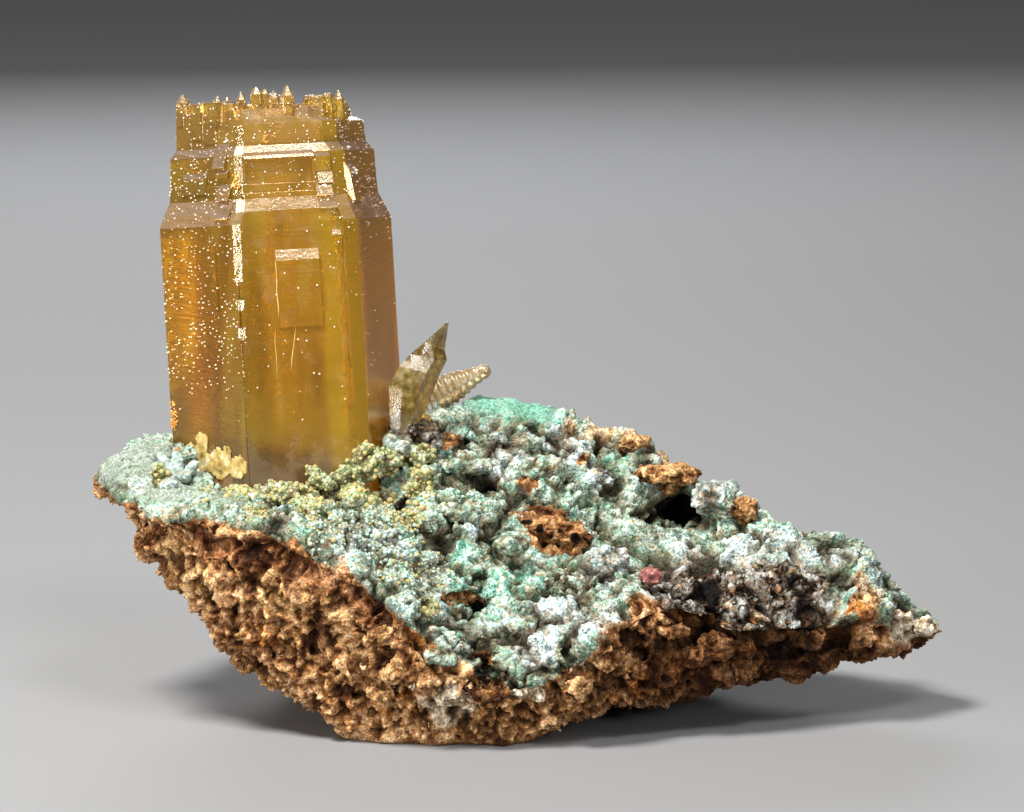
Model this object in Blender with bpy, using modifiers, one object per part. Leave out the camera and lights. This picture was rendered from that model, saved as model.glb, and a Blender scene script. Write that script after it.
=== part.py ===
"""Mimetite specimen: a stepped amber prism and its side crystals on a crusted wedge of gossan.

The model is worked out in millimetres and written in metres. +Z is up, the front faces -Y,
and the origin is the middle of the specimen on the plane that it rests on.
"""

import math
from collections import namedtuple

import bmesh
import bpy
from mathutils import Matrix, Vector, noise

MM = 0.001
SEAT_GAP = 0.3
WELD = 0.002
SEED_SHIFT = Vector((3.7, 1.9, 8.2))

# Rock: where each section across the length passes, as (y, z) from the front foot over the top.
Section = namedtuple("Section", "x toe face lip slope bench crest back heel")
ROCK_SECTIONS = (
    Section(-34.2, (0.6, 17.9), (-0.5, 18.2), (-0.8, 18.6), (0.0, 18.9),
            (0.7, 19.0), (1.4, 18.8), (2.0, 18.4), (1.4, 17.9)),
    Section(-31.5, (-2.5, 16.9), (-4.8, 17.3), (-5.6, 18.0), (-2.0, 19.6),
            (1.0, 20.8), (4.0, 21.5), (9.5, 19.2), (6.0, 16.2)),
    Section(-30.0, (-4.0, 14.9), (-6.4, 16.0), (-7.3, 17.6), (-3.2, 19.3),
            (0.0, 20.8), (4.0, 21.8), (12.0, 18.9), (8.0, 13.8)),
    Section(-28.2, (-5.5, 11.9), (-7.8, 14.6), (-9.0, 17.3), (-4.5, 19.0),
            (-0.5, 20.8), (4.0, 21.9), (13.6, 18.5), (9.5, 11.5)),
    Section(-22.6, (-7.5, 5.7), (-10.0, 11.9), (-11.2, 17.1), (-6.0, 19.2),
            (0.0, 20.6), (7.0, 21.8), (14.8, 17.0), (11.6, 6.5)),
    Section(-17.4, (-9.5, 3.0), (-12.0, 9.8), (-13.2, 16.0), (-6.5, 18.6),
            (0.0, 20.5), (8.0, 22.2), (15.0, 15.0), (12.4, 1.5)),
    Section(-11.8, (-9.4, -0.8), (-12.9, 5.6), (-14.6, 12.6), (-7.0, 17.0),
            (0.5, 20.2), (8.5, 22.8), (15.2, 14.0), (12.8, -0.8)),
    Section(-6.2, (-10.4, -0.9), (-13.9, 3.6), (-15.4, 8.0), (-8.0, 13.8),
            (1.0, 19.6), (9.0, 23.6), (15.0, 14.5), (12.4, -1.0)),
    Section(0.2, (-10.4, -0.9), (-13.9, 2.4), (-15.4, 5.6), (-8.5, 11.6),
            (1.0, 18.8), (9.0, 23.8), (14.8, 14.5), (12.0, -1.0)),
    Section(6.6, (-11.3, 2.9), (-13.6, 5.4), (-14.2, 8.6), (-8.0, 12.0),
            (1.5, 17.2), (8.5, 21.7), (14.2, 13.0), (11.2, -0.8)),
    Section(12.0, (-8.8, 2.9), (-11.0, 7.4), (-10.6, 12.6), (-5.5, 13.8),
            (2.6, 14.6), (7.5, 19.4), (13.4, 11.5), (10.0, 1.0)),
    Section(17.0, (-7.2, 3.4), (-9.6, 7.6), (-8.6, 13.2), (-4.0, 14.0),
            (2.2, 14.6), (6.0, 17.1), (11.8, 10.6), (8.6, 2.8)),
    Section(18.8, (-6.6, 3.8), (-9.0, 7.6), (-8.4, 12.9), (-4.0, 13.9),
            (1.4, 14.6), (5.0, 16.3), (11.2, 10.3), (8.0, 3.2)),
    Section(19.6, (-6.4, 3.9), (-8.8, 7.6), (-8.2, 12.7), (-4.0, 13.8),
            (0.8, 14.5), (4.2, 14.8), (10.8, 10.1), (7.7, 3.5)),
    Section(25.8, (-4.5, 4.7), (-7.0, 7.4), (-6.6, 11.6), (-3.5, 13.0),
            (0.0, 13.8), (3.0, 13.8), (8.0, 9.5), (5.5, 4.6)),
    Section(28.8, (-3.2, 4.8), (-5.2, 6.8), (-5.2, 10.4), (-2.6, 12.0),
            (0.0, 12.8), (1.8, 12.6), (6.0, 8.6), (3.8, 4.8)),
    Section(30.1, (-2.6, 4.9), (-4.2, 6.2), (-3.8, 7.8), (-1.8, 8.8),
            (0.0, 9.3), (1.2, 9.1), (4.6, 7.6), (2.9, 5.0)),
    Section(32.2, (-1.6, 5.1), (-2.6, 5.9), (-2.4, 7.2), (-1.0, 8.0),
            (0.2, 8.4), (0.8, 8.3), (2.8, 7.0), (1.8, 5.3)),
    Section(34.3, (-0.5, 5.9), (-1.0, 6.2), (-0.9, 6.8), (-0.3, 7.0),
            (0.2, 7.1), (0.5, 6.9), (0.9, 6.5), (0.5, 6.0)),
)
POINTS_AROUND = 128
POINTS_ALONG = 170
ROCK_GRAIN = 0.4
ROCK_TRIANGLES = 5500

# Rock relief: swells, rounded lumps and grain, as size and height; bare rock is rougher.
WIDE_SWELL = (5.2, 0.5)
LUMPS = (2.9, 1.25)
GRAIN = (1.3, 0.42)
BARE_ROUGHNESS = 1.5

# Lumps and hollows of the rock: where, how far they reach and how high they stand.
Swell = namedtuple("Swell", "x y z reach rise")
ROCK_SWELLS = (
    Swell(-29.6, -1.0, 20.6, 3.4, 1.0),
    Swell(-30.2, -6.0, 14.4, 1.9, 1.5),
    Swell(-27.8, -2.6, 19.8, 1.3, 0.7),
    Swell(-11.9, -6.2, 17.0, 5.0, 1.0),
    Swell(-15.4, -1.6, 20.0, 1.5, 0.9),
    Swell(-11.8, 2.0, 21.0, 1.9, 1.2),
    Swell(-7.6, -1.0, 18.8, 2.0, 0.8),
    Swell(-3.8, -4.4, 15.6, 2.2, 1.4),
    Swell(-1.6, 3.4, 21.0, 2.4, 1.0),
    Swell(2.9, 1.6, 18.6, 2.2, 0.9),
    Swell(2.9, -3.6, 15.1, 3.4, -0.8),
    Swell(6.0, -6.0, 13.6, 2.0, 1.1),
    Swell(10.2, 5.4, 19.2, 2.8, 1.2),
    Swell(16.9, 3.6, 16.0, 2.4, 1.3),
    Swell(13.6, 1.4, 14.6, 2.2, -1.2),
    Swell(-2.4, -9.4, 11.2, 2.4, -0.9),
    Swell(1.8, -12.6, 8.4, 3.0, 0.9),
    Swell(-8.8, -13.6, 11.4, 2.6, 0.8),
    Swell(9.4, -9.2, 12.4, 2.4, 0.7),
    Swell(21.6, -5.6, 12.8, 2.6, 0.8),
    Swell(26.6, -2.6, 13.2, 2.4, 0.8),
    Swell(31.0, 0.2, 8.8, 1.8, 0.5),
    Swell(-20.4, -12.4, 14.4, 2.4, -0.7),
    Swell(-14.8, -13.6, 8.4, 3.2, -0.9),
    Swell(-24.0, -10.6, 13.4, 2.4, 0.8),
    Swell(4.0, -14.4, 4.6, 2.6, -0.9),
    Swell(-18.0, 15.4, 12.0, 4.4, 1.0),
    Swell(-4.0, 15.6, 9.0, 4.0, -1.2),
    Swell(6.0, 14.4, 10.0, 3.4, 1.0),
    Swell(-26.0, 12.6, 13.0, 3.0, -0.9),
    Swell(18.0, 10.6, 9.0, 3.2, -0.8),
)

# Open cavities of the rock: where, half-widths, and turn about Z and about X in degrees.
Cave = namedtuple("Cave", "x y z across deep tall turn tip")
ROCK_CAVES = (
    Cave(13.5, 3.4, 15.9, 1.4, 2.6, 1.3, 8, -16),
    Cave(14.6, -10.4, 10.2, 1.1, 2.6, 2.9, -14, 6),
    Cave(-3.2, -9.8, 11.3, 2.3, 2.4, 0.7, 6, -28),
    Cave(-2.2, -15.2, 6.4, 0.9, 2.2, 1.7, 10, 0),
    Cave(-24.4, -11.2, 15.4, 1.9, 2.0, 0.6, 24, -8),
    Cave(1.2, -4.0, 15.4, 0.8, 1.1, 0.7, 12, -40),
    Cave(3.8, -2.6, 15.6, 0.9, 1.2, 0.6, -20, -40),
    Cave(2.6, -5.0, 14.2, 0.6, 1.0, 0.6, 0, -40),
    Cave(9.0, -12.4, 7.0, 1.6, 2.2, 0.9, -20, 10),
    Cave(23.2, -8.4, 8.6, 1.3, 1.9, 0.8, -26, 4),
    Cave(-9.6, 15.8, 11.0, 1.8, 2.2, 1.3, 6, 10),
    Cave(9.6, 13.8, 11.0, 1.5, 2.0, 1.2, -16, 0),
)

# Prism: its foot on the rock, its lean, and the bearing of each of its six sides.
PRISM_FOOT = Vector((-18.5, 4.2, 20.0))
LEAN_LEFT = math.radians(3.2)
LEAN_BACK = math.radians(8.0)
SIDE_BEARINGS = tuple(math.radians(angle) for angle in (223, 283, 343, 43, 103, 163))
FRONT_SIDE = 1
LEFT_SIDE = 0
RIGHT_SIDE = 2
CORNER_CUTS = (0.2, 0.4, 0.05, 0.05, 0.06, 0.05)
PRISM_ROOT = -6.0

# Prism: the reach of its sides at each height: left, front, right, rear right, rear, rear left.
Level = namedtuple("Level", "height left front right rear_right rear rear_left")
PRISM_LEVELS = (
    Level(PRISM_ROOT, 8.15, 7.95, 8.15, 8.2, 8.1, 8.15),
    Level(7.0, 8.25, 8.15, 8.3, 8.3, 8.25, 8.2),
    Level(18.9, 8.25, 8.25, 8.25, 8.25, 8.25, 8.25),
    Level(19.9, 7.9, 8.2, 7.85, 7.85, 7.9, 7.9),
    Level(20.9, 7.42, 7.62, 7.42, 7.42, 7.5, 7.45),
    Level(21.3, 7.4, 7.6, 7.4, 7.4, 7.48, 7.42),
    Level(21.36, 7.4, 7.42, 7.38, 7.4, 7.3, 7.4),
    Level(22.0, 7.38, 7.4, 7.36, 7.38, 7.28, 7.38),
    Level(22.06, 7.2, 7.2, 7.34, 7.38, 7.26, 7.38),
    Level(24.4, 7.14, 7.14, 7.3, 7.3, 7.2, 7.32),
    Level(25.1, 6.74, 6.84, 6.74, 6.76, 6.8, 6.76),
    Level(26.8, 6.7, 6.8, 6.62, 6.7, 6.72, 6.7),
    Level(27.2, 6.68, 6.74, 5.72, 6.0, 6.6, 6.68),
    Level(28.0, 6.62, 6.6, 5.6, 5.9, 6.4, 6.62),
)

# Raised plates on the prism's sides: side, from, to, lower, upper, rise, top slope.
Plate = namedtuple("Plate", "side start end low high rise slope")
PRISM_PLATES = (
    Plate(FRONT_SIDE, -1.7, 1.8, 10.5, 16.8, 0.22, 0.9),
    Plate(FRONT_SIDE, 3.0, 3.7, 4.0, 18.2, 0.12, 0.5),
    Plate(FRONT_SIDE, 2.1, 3.5, 19.8, 21.0, 0.3, 0.5),
    Plate(FRONT_SIDE, 2.0, 3.3, 20.8, 22.1, 0.5, 0.4),
    Plate(FRONT_SIDE, 2.2, 3.4, 21.8, 23.2, 0.44, 0.5),
    Plate(FRONT_SIDE, 2.1, 3.3, 22.8, 24.3, 0.4, 0.3),
    Plate(FRONT_SIDE, -3.6, 2.0, 24.0, 24.6, 0.3, 0.3),
    Plate(LEFT_SIDE, 2.2, 4.0, 19.3, 21.0, 0.34, 0.6),
    Plate(LEFT_SIDE, 2.0, 3.6, 20.8, 22.2, 0.4, 0.5),
    Plate(LEFT_SIDE, 1.7, 3.2, 22.6, 23.3, 0.36, 0.3),
    Plate(LEFT_SIDE, 1.4, 2.9, 23.4, 25.4, 0.4, 0.7),
    Plate(LEFT_SIDE, -2.6, 0.4, 21.4, 23.2, 0.16, 0.5),
    Plate(LEFT_SIDE, -1.2, 2.2, 12.0, 17.6, 0.08, 0.8),
    Plate(RIGHT_SIDE, -3.4, -1.6, 20.3, 23.4, 0.4, 0.7),
    Plate(RIGHT_SIDE, -1.0, 2.4, 6.0, 16.0, 0.1, 0.8),
)
PANEL = Plate(FRONT_SIDE, -3.5, 1.9, 22.1, 23.95, 0.3, 0.0)

# Crown of parallel tips: place across and deep, half-width, heights of its root, shoulder and
# tip, and how much of its width is left at the tip.
Spire = namedtuple("Spire", "x y reach root shoulder tip left")
SHARP = 0.12
BLUNT = 0.86
CROWN = (
    Spire(-6.85, -1.9, 0.56, 27.0, 28.9, 29.65, SHARP),
    Spire(-6.0, -2.0, 0.86, 26.27, 28.62, 28.71, BLUNT),
    Spire(-5.03, -3.08, 1.22, 25.83, 28.66, 28.77, BLUNT),
    Spire(-3.86, -4.21, 1.27, 25.41, 28.7, 28.83, BLUNT),
    Spire(-3.85, -5.55, 0.42, 26.9, 28.7, 29.3, SHARP),
    Spire(-3.02, -5.17, 0.8, 25.77, 28.5, 28.6, BLUNT),
    Spire(-1.9, -6.5, 0.4, 26.6, 28.8, 29.5, SHARP),
    Spire(-1.13, -5.9, 0.75, 25.92, 28.3, 28.43, BLUNT),
    Spire(-0.7, -6.25, 0.5, 27.2, 29.2, 29.68, 0.5),
    Spire(-0.05, -5.7, 0.4, 27.0, 29.2, 29.55, 0.5),
    Spire(0.7, -6.1, 0.46, 27.1, 28.8, 29.45, SHARP),
    Spire(1.27, -5.3, 1.1, 25.87, 28.2, 28.31, BLUNT),
    Spire(1.78, -6.2, 0.56, 27.5, 28.95, 29.8, SHARP),
    Spire(2.96, -4.96, 0.8, 25.74, 28.07, 28.15, BLUNT),
    Spire(3.9, -4.5, 0.98, 25.63, 28.72, 28.86, BLUNT),
    Spire(4.6, -4.0, 0.83, 25.58, 28.8, 28.92, BLUNT),
    Spire(4.96, -4.7, 0.34, 27.6, 28.7, 29.1, SHARP),
    Spire(5.72, -2.9, 0.46, 26.8, 28.5, 29.25, SHARP),
    Spire(5.5, -1.2, 0.9, 25.8, 28.3, 28.42, BLUNT),
    Spire(5.6, 1.4, 0.7, 26.0, 28.0, 28.8, SHARP),
    Spire(4.9, 3.7, 0.6, 26.0, 28.1, 29.1, SHARP),
    Spire(3.0, 4.7, 1.2, 26.0, 28.4, 28.5, BLUNT),
    Spire(1.1, 6.0, 0.5, 26.0, 28.4, 29.3, SHARP),
    Spire(-1.4, 5.8, 1.1, 26.0, 28.5, 28.6, BLUNT),
    Spire(-3.7, 5.4, 0.5, 26.0, 28.4, 29.4, SHARP),
    Spire(-5.2, 3.6, 1.2, 26.0, 28.5, 28.6, BLUNT),
    Spire(-6.7, 1.3, 0.6, 26.0, 28.5, 29.35, SHARP),
)
CROWN_HOLLOW = Spire(-0.4, 0.2, 3.7, 27.1, 30.5, 31.0, BLUNT)
INNER_CROWN = (
    Spire(-1.9, -1.2, 0.9, 26.4, 27.9, 28.1, BLUNT),
    Spire(1.2, 0.9, 1.1, 26.4, 27.7, 27.9, BLUNT),
    Spire(-0.9, 2.1, 0.6, 26.4, 27.7, 28.4, SHARP),
    Spire(1.9, -1.9, 0.5, 26.4, 27.8, 28.5, SHARP),
)

# Blade: rows from root to tip, as left edge, right edge, their heights, and thickness.
Row = namedtuple("Row", "left left_height right right_height depth thickness")
BLADE_ROWS = (
    Row(-9.9, 19.6, -8.5, 19.6, 1.2, 1.0),
    Row(-10.1, 21.6, -8.2, 21.9, 1.2, 1.5),
    Row(-10.3, 24.0, -7.3, 24.2, 1.5, 1.9),
    Row(-10.35, 26.2, -6.85, 25.6, 1.9, 2.0),
    Row(-9.5, 27.8, -6.25, 27.0, 2.4, 1.8),
    Row(-8.64, 28.7, -5.72, 28.0, 2.9, 1.4),
    Row(-7.44, 29.65, -5.9, 28.7, 3.3, 1.0),
    Row(-6.55, 30.4, -5.76, 29.7, 3.6, 0.6),
    Row(-5.8, 31.05, -5.56, 31.0, 3.9, 0.16),
)
BLADE_SWING = 0.62

# Ribbed finger: both ends of its axis, and its ribs from root to end.
FINGER_ROOT = Vector((-7.3, 8.6, 23.9))
FINGER_END = Vector((-2.3, 8.3, 26.5))
FINGER_SIDES = 9
FINGER_RADII = (1.0, 1.45, 1.2, 1.5, 1.25, 1.5, 1.2, 1.42, 1.12, 1.3, 1.0, 1.12, 0.84, 0.92, 0.7,
                0.76, 0.6, 0.66, 0.56, 0.34)

# Small grains that sit in the crust: centre and half-sizes.
Grain = namedtuple("Grain", "x y z across deep tall turn seed")
AMBER_CHIP = Grain(-7.8, 5.7, 22.75, 0.85, 0.6, 0.5, 25, 3)
RED_GRAIN = Grain(10.4, -9.3, 12.9, 1.2, 0.9, 0.85, -15, 8)

# Spray: the fingers' common root, and each finger's bearing, rise, length and half-width.
SPRAY_ROOT = Vector((-26.9, -2.9, 19.2))
SPRAY_HEART = Grain(-26.9, -2.9, 19.2, 0.9, 0.9, 0.9, 0, 5)
Shoot = namedtuple("Shoot", "bearing rise length reach")
SPRAY_SHOOTS = (
    Shoot(205, 34, 2.9, 0.5),
    Shoot(160, 50, 3.0, 0.46),
    Shoot(245, 20, 2.6, 0.5),
    Shoot(290, 26, 2.3, 0.46),
    Shoot(110, 66, 2.9, 0.44),
    Shoot(330, 48, 2.5, 0.44),
)

# Looks: base colour, roughness and how much light passes.
Look = namedtuple("Look", "colour roughness transmission ior")
LOOKS = {
    "gossan_and_crust": Look((0.3, 0.33, 0.26, 1.0), 0.9, 0.0, 1.5),
    "amber_mimetite": Look((0.8, 0.47, 0.06, 1.0), 0.12, 0.6, 2.1),
    "pale_mimetite": Look((0.78, 0.7, 0.3, 1.0), 0.2, 0.5, 2.1),
    "white_mimetite": Look((0.86, 0.82, 0.74, 1.0), 0.3, 0.3, 2.1),
    "amber_chip": Look((0.75, 0.4, 0.08, 1.0), 0.2, 0.4, 2.1),
    "red_mineral": Look((0.5, 0.16, 0.12, 1.0), 0.6, 0.0, 1.6),
    "crusted_spray": Look((0.6, 0.7, 0.68, 1.0), 0.85, 0.0, 1.5),
}


def mix(first, second, share):
    return first + (second - first) * share


def through(before, start, end, after, share):
    """A point on the Catmull-Rom curve from start to end."""
    square = share * share
    cube = square * share
    return 0.5 * (
        2 * start
        + (end - before) * share
        + (2 * before - 5 * start + 4 * end - after) * square
        + (3 * start - before - 3 * end + after) * cube
    )


def section_ring(section):
    """The closed outline of one rock section, as evenly numbered points."""
    marks = [Vector(point) for point in section[1:]]
    per_mark = POINTS_AROUND // len(marks)
    ring = []
    for index in range(len(marks)):
        four = [marks[(index + step) % len(marks)] for step in (-1, 0, 1, 2)]
        ring += [through(*four, step / per_mark) for step in range(per_mark)]
    return [Vector((section.x, point.x, point.y)) for point in ring]


def rock_rings():
    """Rings from end to end, eased through the named sections."""
    named = [section_ring(section) for section in ROCK_SECTIONS]
    last = len(named) - 1
    rings = []
    for step in range(POINTS_ALONG + 1):
        place = step / POINTS_ALONG * last
        low = min(int(place), last - 1)
        picks = [named[min(max(low + offset, 0), last)] for offset in (-1, 0, 1, 2)]
        rings.append([through(*four, place - low) for four in zip(*picks)])
    return rings


def loft(rings):
    """A closed shape through rings of equal length, with a flat face on each end."""
    mesh = bmesh.new()
    rows = [[mesh.verts.new(point) for point in ring] for ring in rings]
    count = len(rows[0])
    for low, high in zip(rows, rows[1:]):
        for index in range(count):
            after = (index + 1) % count
            mesh.faces.new((low[index], low[after], high[after], high[index]))
    mesh.faces.new(rows[0][::-1])
    mesh.faces.new(rows[-1])
    bmesh.ops.recalc_face_normals(mesh, faces=mesh.faces)
    return mesh


def relief(point, bare):
    """How far the rock stands out at a point, in millimetres."""
    width, height = WIDE_SWELL
    rise = noise.noise((point + SEED_SHIFT) / width) * height
    width, height = LUMPS
    rise += (0.42 - noise.voronoi((point - SEED_SHIFT) / width)[0][0]) * height
    width, height = GRAIN
    rise += noise.noise((point - SEED_SHIFT) / width) * height * mix(1.0, BARE_ROUGHNESS, bare)
    for swell in ROCK_SWELLS:
        away = (point - Vector(swell[:3])).length / swell.reach
        if away < 1.6:
            rise += swell.rise * math.exp(-2.0 * away * away)
    return rise


def rock_body():
    """The lofted wedge with its relief, still on its rounded sole."""
    mesh = loft(rock_rings())
    mesh.normal_update()
    moves = []
    for vert in mesh.verts:
        bare = min(max(0.6 - vert.normal.z, 0.0), 1.0)
        moves.append(vert.normal * relief(vert.co, bare))
    for vert, move in zip(mesh.verts, moves):
        vert.co += move
    return mesh


def meet(side, other, reach, other_reach):
    """Where two upright planes cross, given their bearings and reaches."""
    det = math.sin(other - side)
    x = (reach * math.sin(other) - other_reach * math.sin(side)) / det
    y = (other_reach * math.cos(side) - reach * math.cos(other)) / det
    return x, y


def prism_ring(height, reaches, cuts, swell):
    """Twelve points of a hexagonal section whose corners are cut narrow."""
    ring = []
    for index, cut in enumerate(cuts):
        after = (index + 1) % 6
        side = SIDE_BEARINGS[index]
        other = SIDE_BEARINGS[after]
        reach = reaches[index] + swell
        other_reach = reaches[after] + swell
        corner = side + math.radians(30)
        x, y = meet(side, other, reach, other_reach)
        corner_reach = x * math.cos(corner) + y * math.sin(corner) - cut
        for first, second in (((side, reach), (corner, corner_reach)),
                              ((corner, corner_reach), (other, other_reach))):
            x, y = meet(first[0], second[0], first[1], second[1])
            ring.append(Vector((x, y, height)))
    return ring


def prism_place():
    """The prism's own frame, with its axis as local Z."""
    lean = Matrix.Rotation(-LEAN_LEFT, 4, "Y") @ Matrix.Rotation(-LEAN_BACK, 4, "X")
    return Matrix.Translation(PRISM_FOOT) @ lean


def prism_body(levels=PRISM_LEVELS, swell=0.0):
    """The stepped hexagonal body in the prism's frame."""
    rings = [prism_ring(level.height, level[1:], CORNER_CUTS, swell) for level in levels]
    return loft(rings)


def side_reach(side, height):
    """The reach of one side of the prism at a height."""
    for low, high in zip(PRISM_LEVELS, PRISM_LEVELS[1:]):
        if height <= high.height:
            share = (height - low.height) / (high.height - low.height)
            return mix(low[side + 1], high[side + 1], share)
    return PRISM_LEVELS[-1][side + 1]


def plate_body(plate, sink=0.6):
    """A low plate that stands on one side of the prism, sloped at its top."""
    low_reach = side_reach(plate.side, plate.low)
    high_reach = side_reach(plate.side, plate.high)
    rings = []
    for along in (plate.start, plate.end):
        outline = (
            (low_reach - sink, plate.low),
            (low_reach + plate.rise, plate.low + 0.06),
            (high_reach + plate.rise, plate.high - plate.slope),
            (high_reach - 0.02, plate.high),
            (high_reach - sink, plate.high),
        )
        rings.append([Vector((reach, along, height)) for reach, height in outline])
    mesh = loft(rings)
    turn = Matrix.Rotation(SIDE_BEARINGS[plate.side], 4, "Z")
    bmesh.ops.transform(mesh, matrix=turn, verts=mesh.verts)
    return mesh


def spire_body(spire, sides=6):
    """A small hexagonal crystal with a pointed or blunt end, upright in the prism's frame."""
    rings = []
    for height, reach in ((spire.root, spire.reach), (spire.shoulder, spire.reach * 0.96),
                          (spire.tip, spire.reach * spire.left)):
        ring = []
        for index in range(sides):
            angle = SIDE_BEARINGS[0] + math.radians(30) + math.tau * index / sides
            ring.append(Vector((spire.x + reach * math.cos(angle),
                                spire.y + reach * math.sin(angle), height)))
        rings.append(ring)
    return loft(rings)


def blade_body(swell=0.0):
    """The flattened wing: rows of six points, ridged in front and behind."""
    rings = []
    for row in BLADE_ROWS:
        left = Vector((row.left - swell, row.depth - BLADE_SWING, row.left_height))
        right = Vector((row.right + swell, row.depth + BLADE_SWING, row.right_height))
        half = row.thickness / 2 + swell
        ring = []
        for share, lift in ((0.0, 0.0), (0.3, -0.62), (0.66, -1.0), (1.0, 0.0), (0.62, 1.0),
                            (0.26, 0.7)):
            point = mix(left, right, share)
            point.y += lift * half
            ring.append(point)
        rings.append(ring)
    if swell:
        drop = Vector((0, 0, swell))
        rings[0] = [point - drop for point in rings[0]]
    return loft(rings)


def finger_body(swell=0.0):
    """The ribbed finger: rings across a straight axis, wide and narrow by turns."""
    axis = (FINGER_END - FINGER_ROOT).normalized()
    side = axis.cross(Vector((0, 0, 1))).normalized()
    rise = side.cross(axis)
    start = FINGER_ROOT - axis * swell
    end = FINGER_END + axis * swell
    rings = []
    for index, radius in enumerate(FINGER_RADII):
        centre = mix(start, end, index / (len(FINGER_RADII) - 1))
        ring = []
        for step in range(FINGER_SIDES):
            angle = math.tau * step / FINGER_SIDES
            offset = side * math.cos(angle) * 0.8 + rise * math.sin(angle)
            ring.append(centre + offset * (radius + swell))
        rings.append(ring)
    return loft(rings)


def grain_body(grain, swell=0.0):
    """A small angular grain."""
    mesh = bmesh.new()
    bmesh.ops.create_icosphere(mesh, subdivisions=1, radius=1.0)
    sizes = Vector((grain.across + swell, grain.deep + swell, grain.tall + swell))
    turn = Matrix.Rotation(math.radians(grain.turn), 3, "Z")
    for vert in mesh.verts:
        rough = 1.0 + 0.2 * noise.noise(vert.co * 1.7 + SEED_SHIFT * grain.seed)
        scaled = Vector(part * size for part, size in zip(vert.co * rough, sizes))
        vert.co = turn @ scaled + Vector((grain.x, grain.y, grain.z))
    return mesh


def cave_body(cave):
    """A rough ball that hollows the rock."""
    mesh = bmesh.new()
    bmesh.ops.create_icosphere(mesh, subdivisions=2, radius=1.0)
    turn = Matrix.Rotation(math.radians(cave.turn), 3, "Z")
    turn = turn @ Matrix.Rotation(math.radians(cave.tip), 3, "X")
    sizes = Vector((cave.across, cave.deep, cave.tall))
    centre = Vector((cave.x, cave.y, cave.z))
    for vert in mesh.verts:
        rough = 1.0 + 0.35 * noise.noise(vert.co * 1.9 + centre)
        scaled = Vector(part * size for part, size in zip(vert.co * rough, sizes))
        vert.co = turn @ scaled + centre
    return mesh


def shoot_body(shoot, swell=0.0):
    """One stubby finger of the spray."""
    bearing = math.radians(shoot.bearing)
    rise = math.radians(shoot.rise)
    axis = Vector((math.cos(bearing) * math.cos(rise), math.sin(bearing) * math.cos(rise),
                   math.sin(rise)))
    side = axis.cross(Vector((0, 0, 1))).normalized()
    top = side.cross(axis)
    rings = []
    for share, width in ((0.0, 0.8), (0.3, 1.0), (0.62, 1.12), (0.88, 0.86), (1.0, 0.4)):
        centre = SPRAY_ROOT + axis * shoot.length * share
        ring = []
        for step in range(7):
            angle = math.tau * step / 7
            offset = side * math.cos(angle) + top * math.sin(angle)
            ring.append(centre + offset * (shoot.reach * width + swell))
        rings.append(ring)
    rings[-1] = [point + axis * swell for point in rings[-1]]
    return loft(rings)


def new_collection(name):
    collection = bpy.data.collections.new(name)
    bpy.context.scene.collection.children.link(collection)
    return collection


def new_solid(name, mesh, collection, place=None):
    """An object from a shape in millimetres, moved to its place and written in metres."""
    if place is not None:
        bmesh.ops.transform(mesh, matrix=place, verts=mesh.verts)
    bmesh.ops.scale(mesh, vec=(MM, MM, MM), verts=mesh.verts)
    bmesh.ops.recalc_face_normals(mesh, faces=mesh.faces)
    data = bpy.data.meshes.new(name)
    mesh.to_mesh(data)
    mesh.free()
    obj = bpy.data.objects.new(name, data)
    collection.objects.link(obj)
    return obj


def new_cutter(name, mesh, collection, place=None):
    obj = new_solid(name, mesh, collection, place)
    obj.hide_render = True
    obj.display_type = "WIRE"
    return obj


def settle(obj):
    """Make the object's modifiers part of its mesh."""
    bpy.context.view_layer.update()
    graph = bpy.context.evaluated_depsgraph_get()
    shaped = bpy.data.meshes.new_from_object(obj.evaluated_get(graph))
    obj.modifiers.clear()
    obj.data = shaped


def combine(obj, other, operation):
    modifier = obj.modifiers.new(operation.title(), "BOOLEAN")
    modifier.operation = operation
    modifier.solver = "EXACT"
    modifier.object = other
    settle(obj)


def fuse(obj, mesh, name, place, tools):
    combine(obj, new_cutter(name, mesh, tools, place), "UNION")


def body_from(start, seen):
    """The vertices joined to one vertex by edges."""
    body = [start]
    seen.add(start)
    for vert in body:
        for edge in vert.link_edges:
            other = edge.other_vert(vert)
            if other not in seen:
                seen.add(other)
                body.append(other)
    return body


def drop_crumbs(mesh):
    """Keep the largest joined body and drop bits that a seat has cut loose."""
    seen = set()
    bodies = [body_from(vert, seen) for vert in mesh.verts if vert not in seen]
    bodies.sort(key=len)
    crumbs = [vert for body in bodies[:-1] for vert in body]
    bmesh.ops.delete(mesh, geom=crumbs, context="VERTS")


def triangulate_and_weld(obj):
    """Weld stray doubles and turn every face into triangles."""
    mesh = bmesh.new()
    mesh.from_mesh(obj.data)
    drop_crumbs(mesh)
    bmesh.ops.remove_doubles(mesh, verts=mesh.verts, dist=WELD * MM)
    bmesh.ops.dissolve_degenerate(mesh, edges=mesh.edges, dist=WELD * MM)
    bmesh.ops.triangulate(mesh, faces=mesh.faces)
    mesh.to_mesh(obj.data)
    mesh.free()


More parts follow.
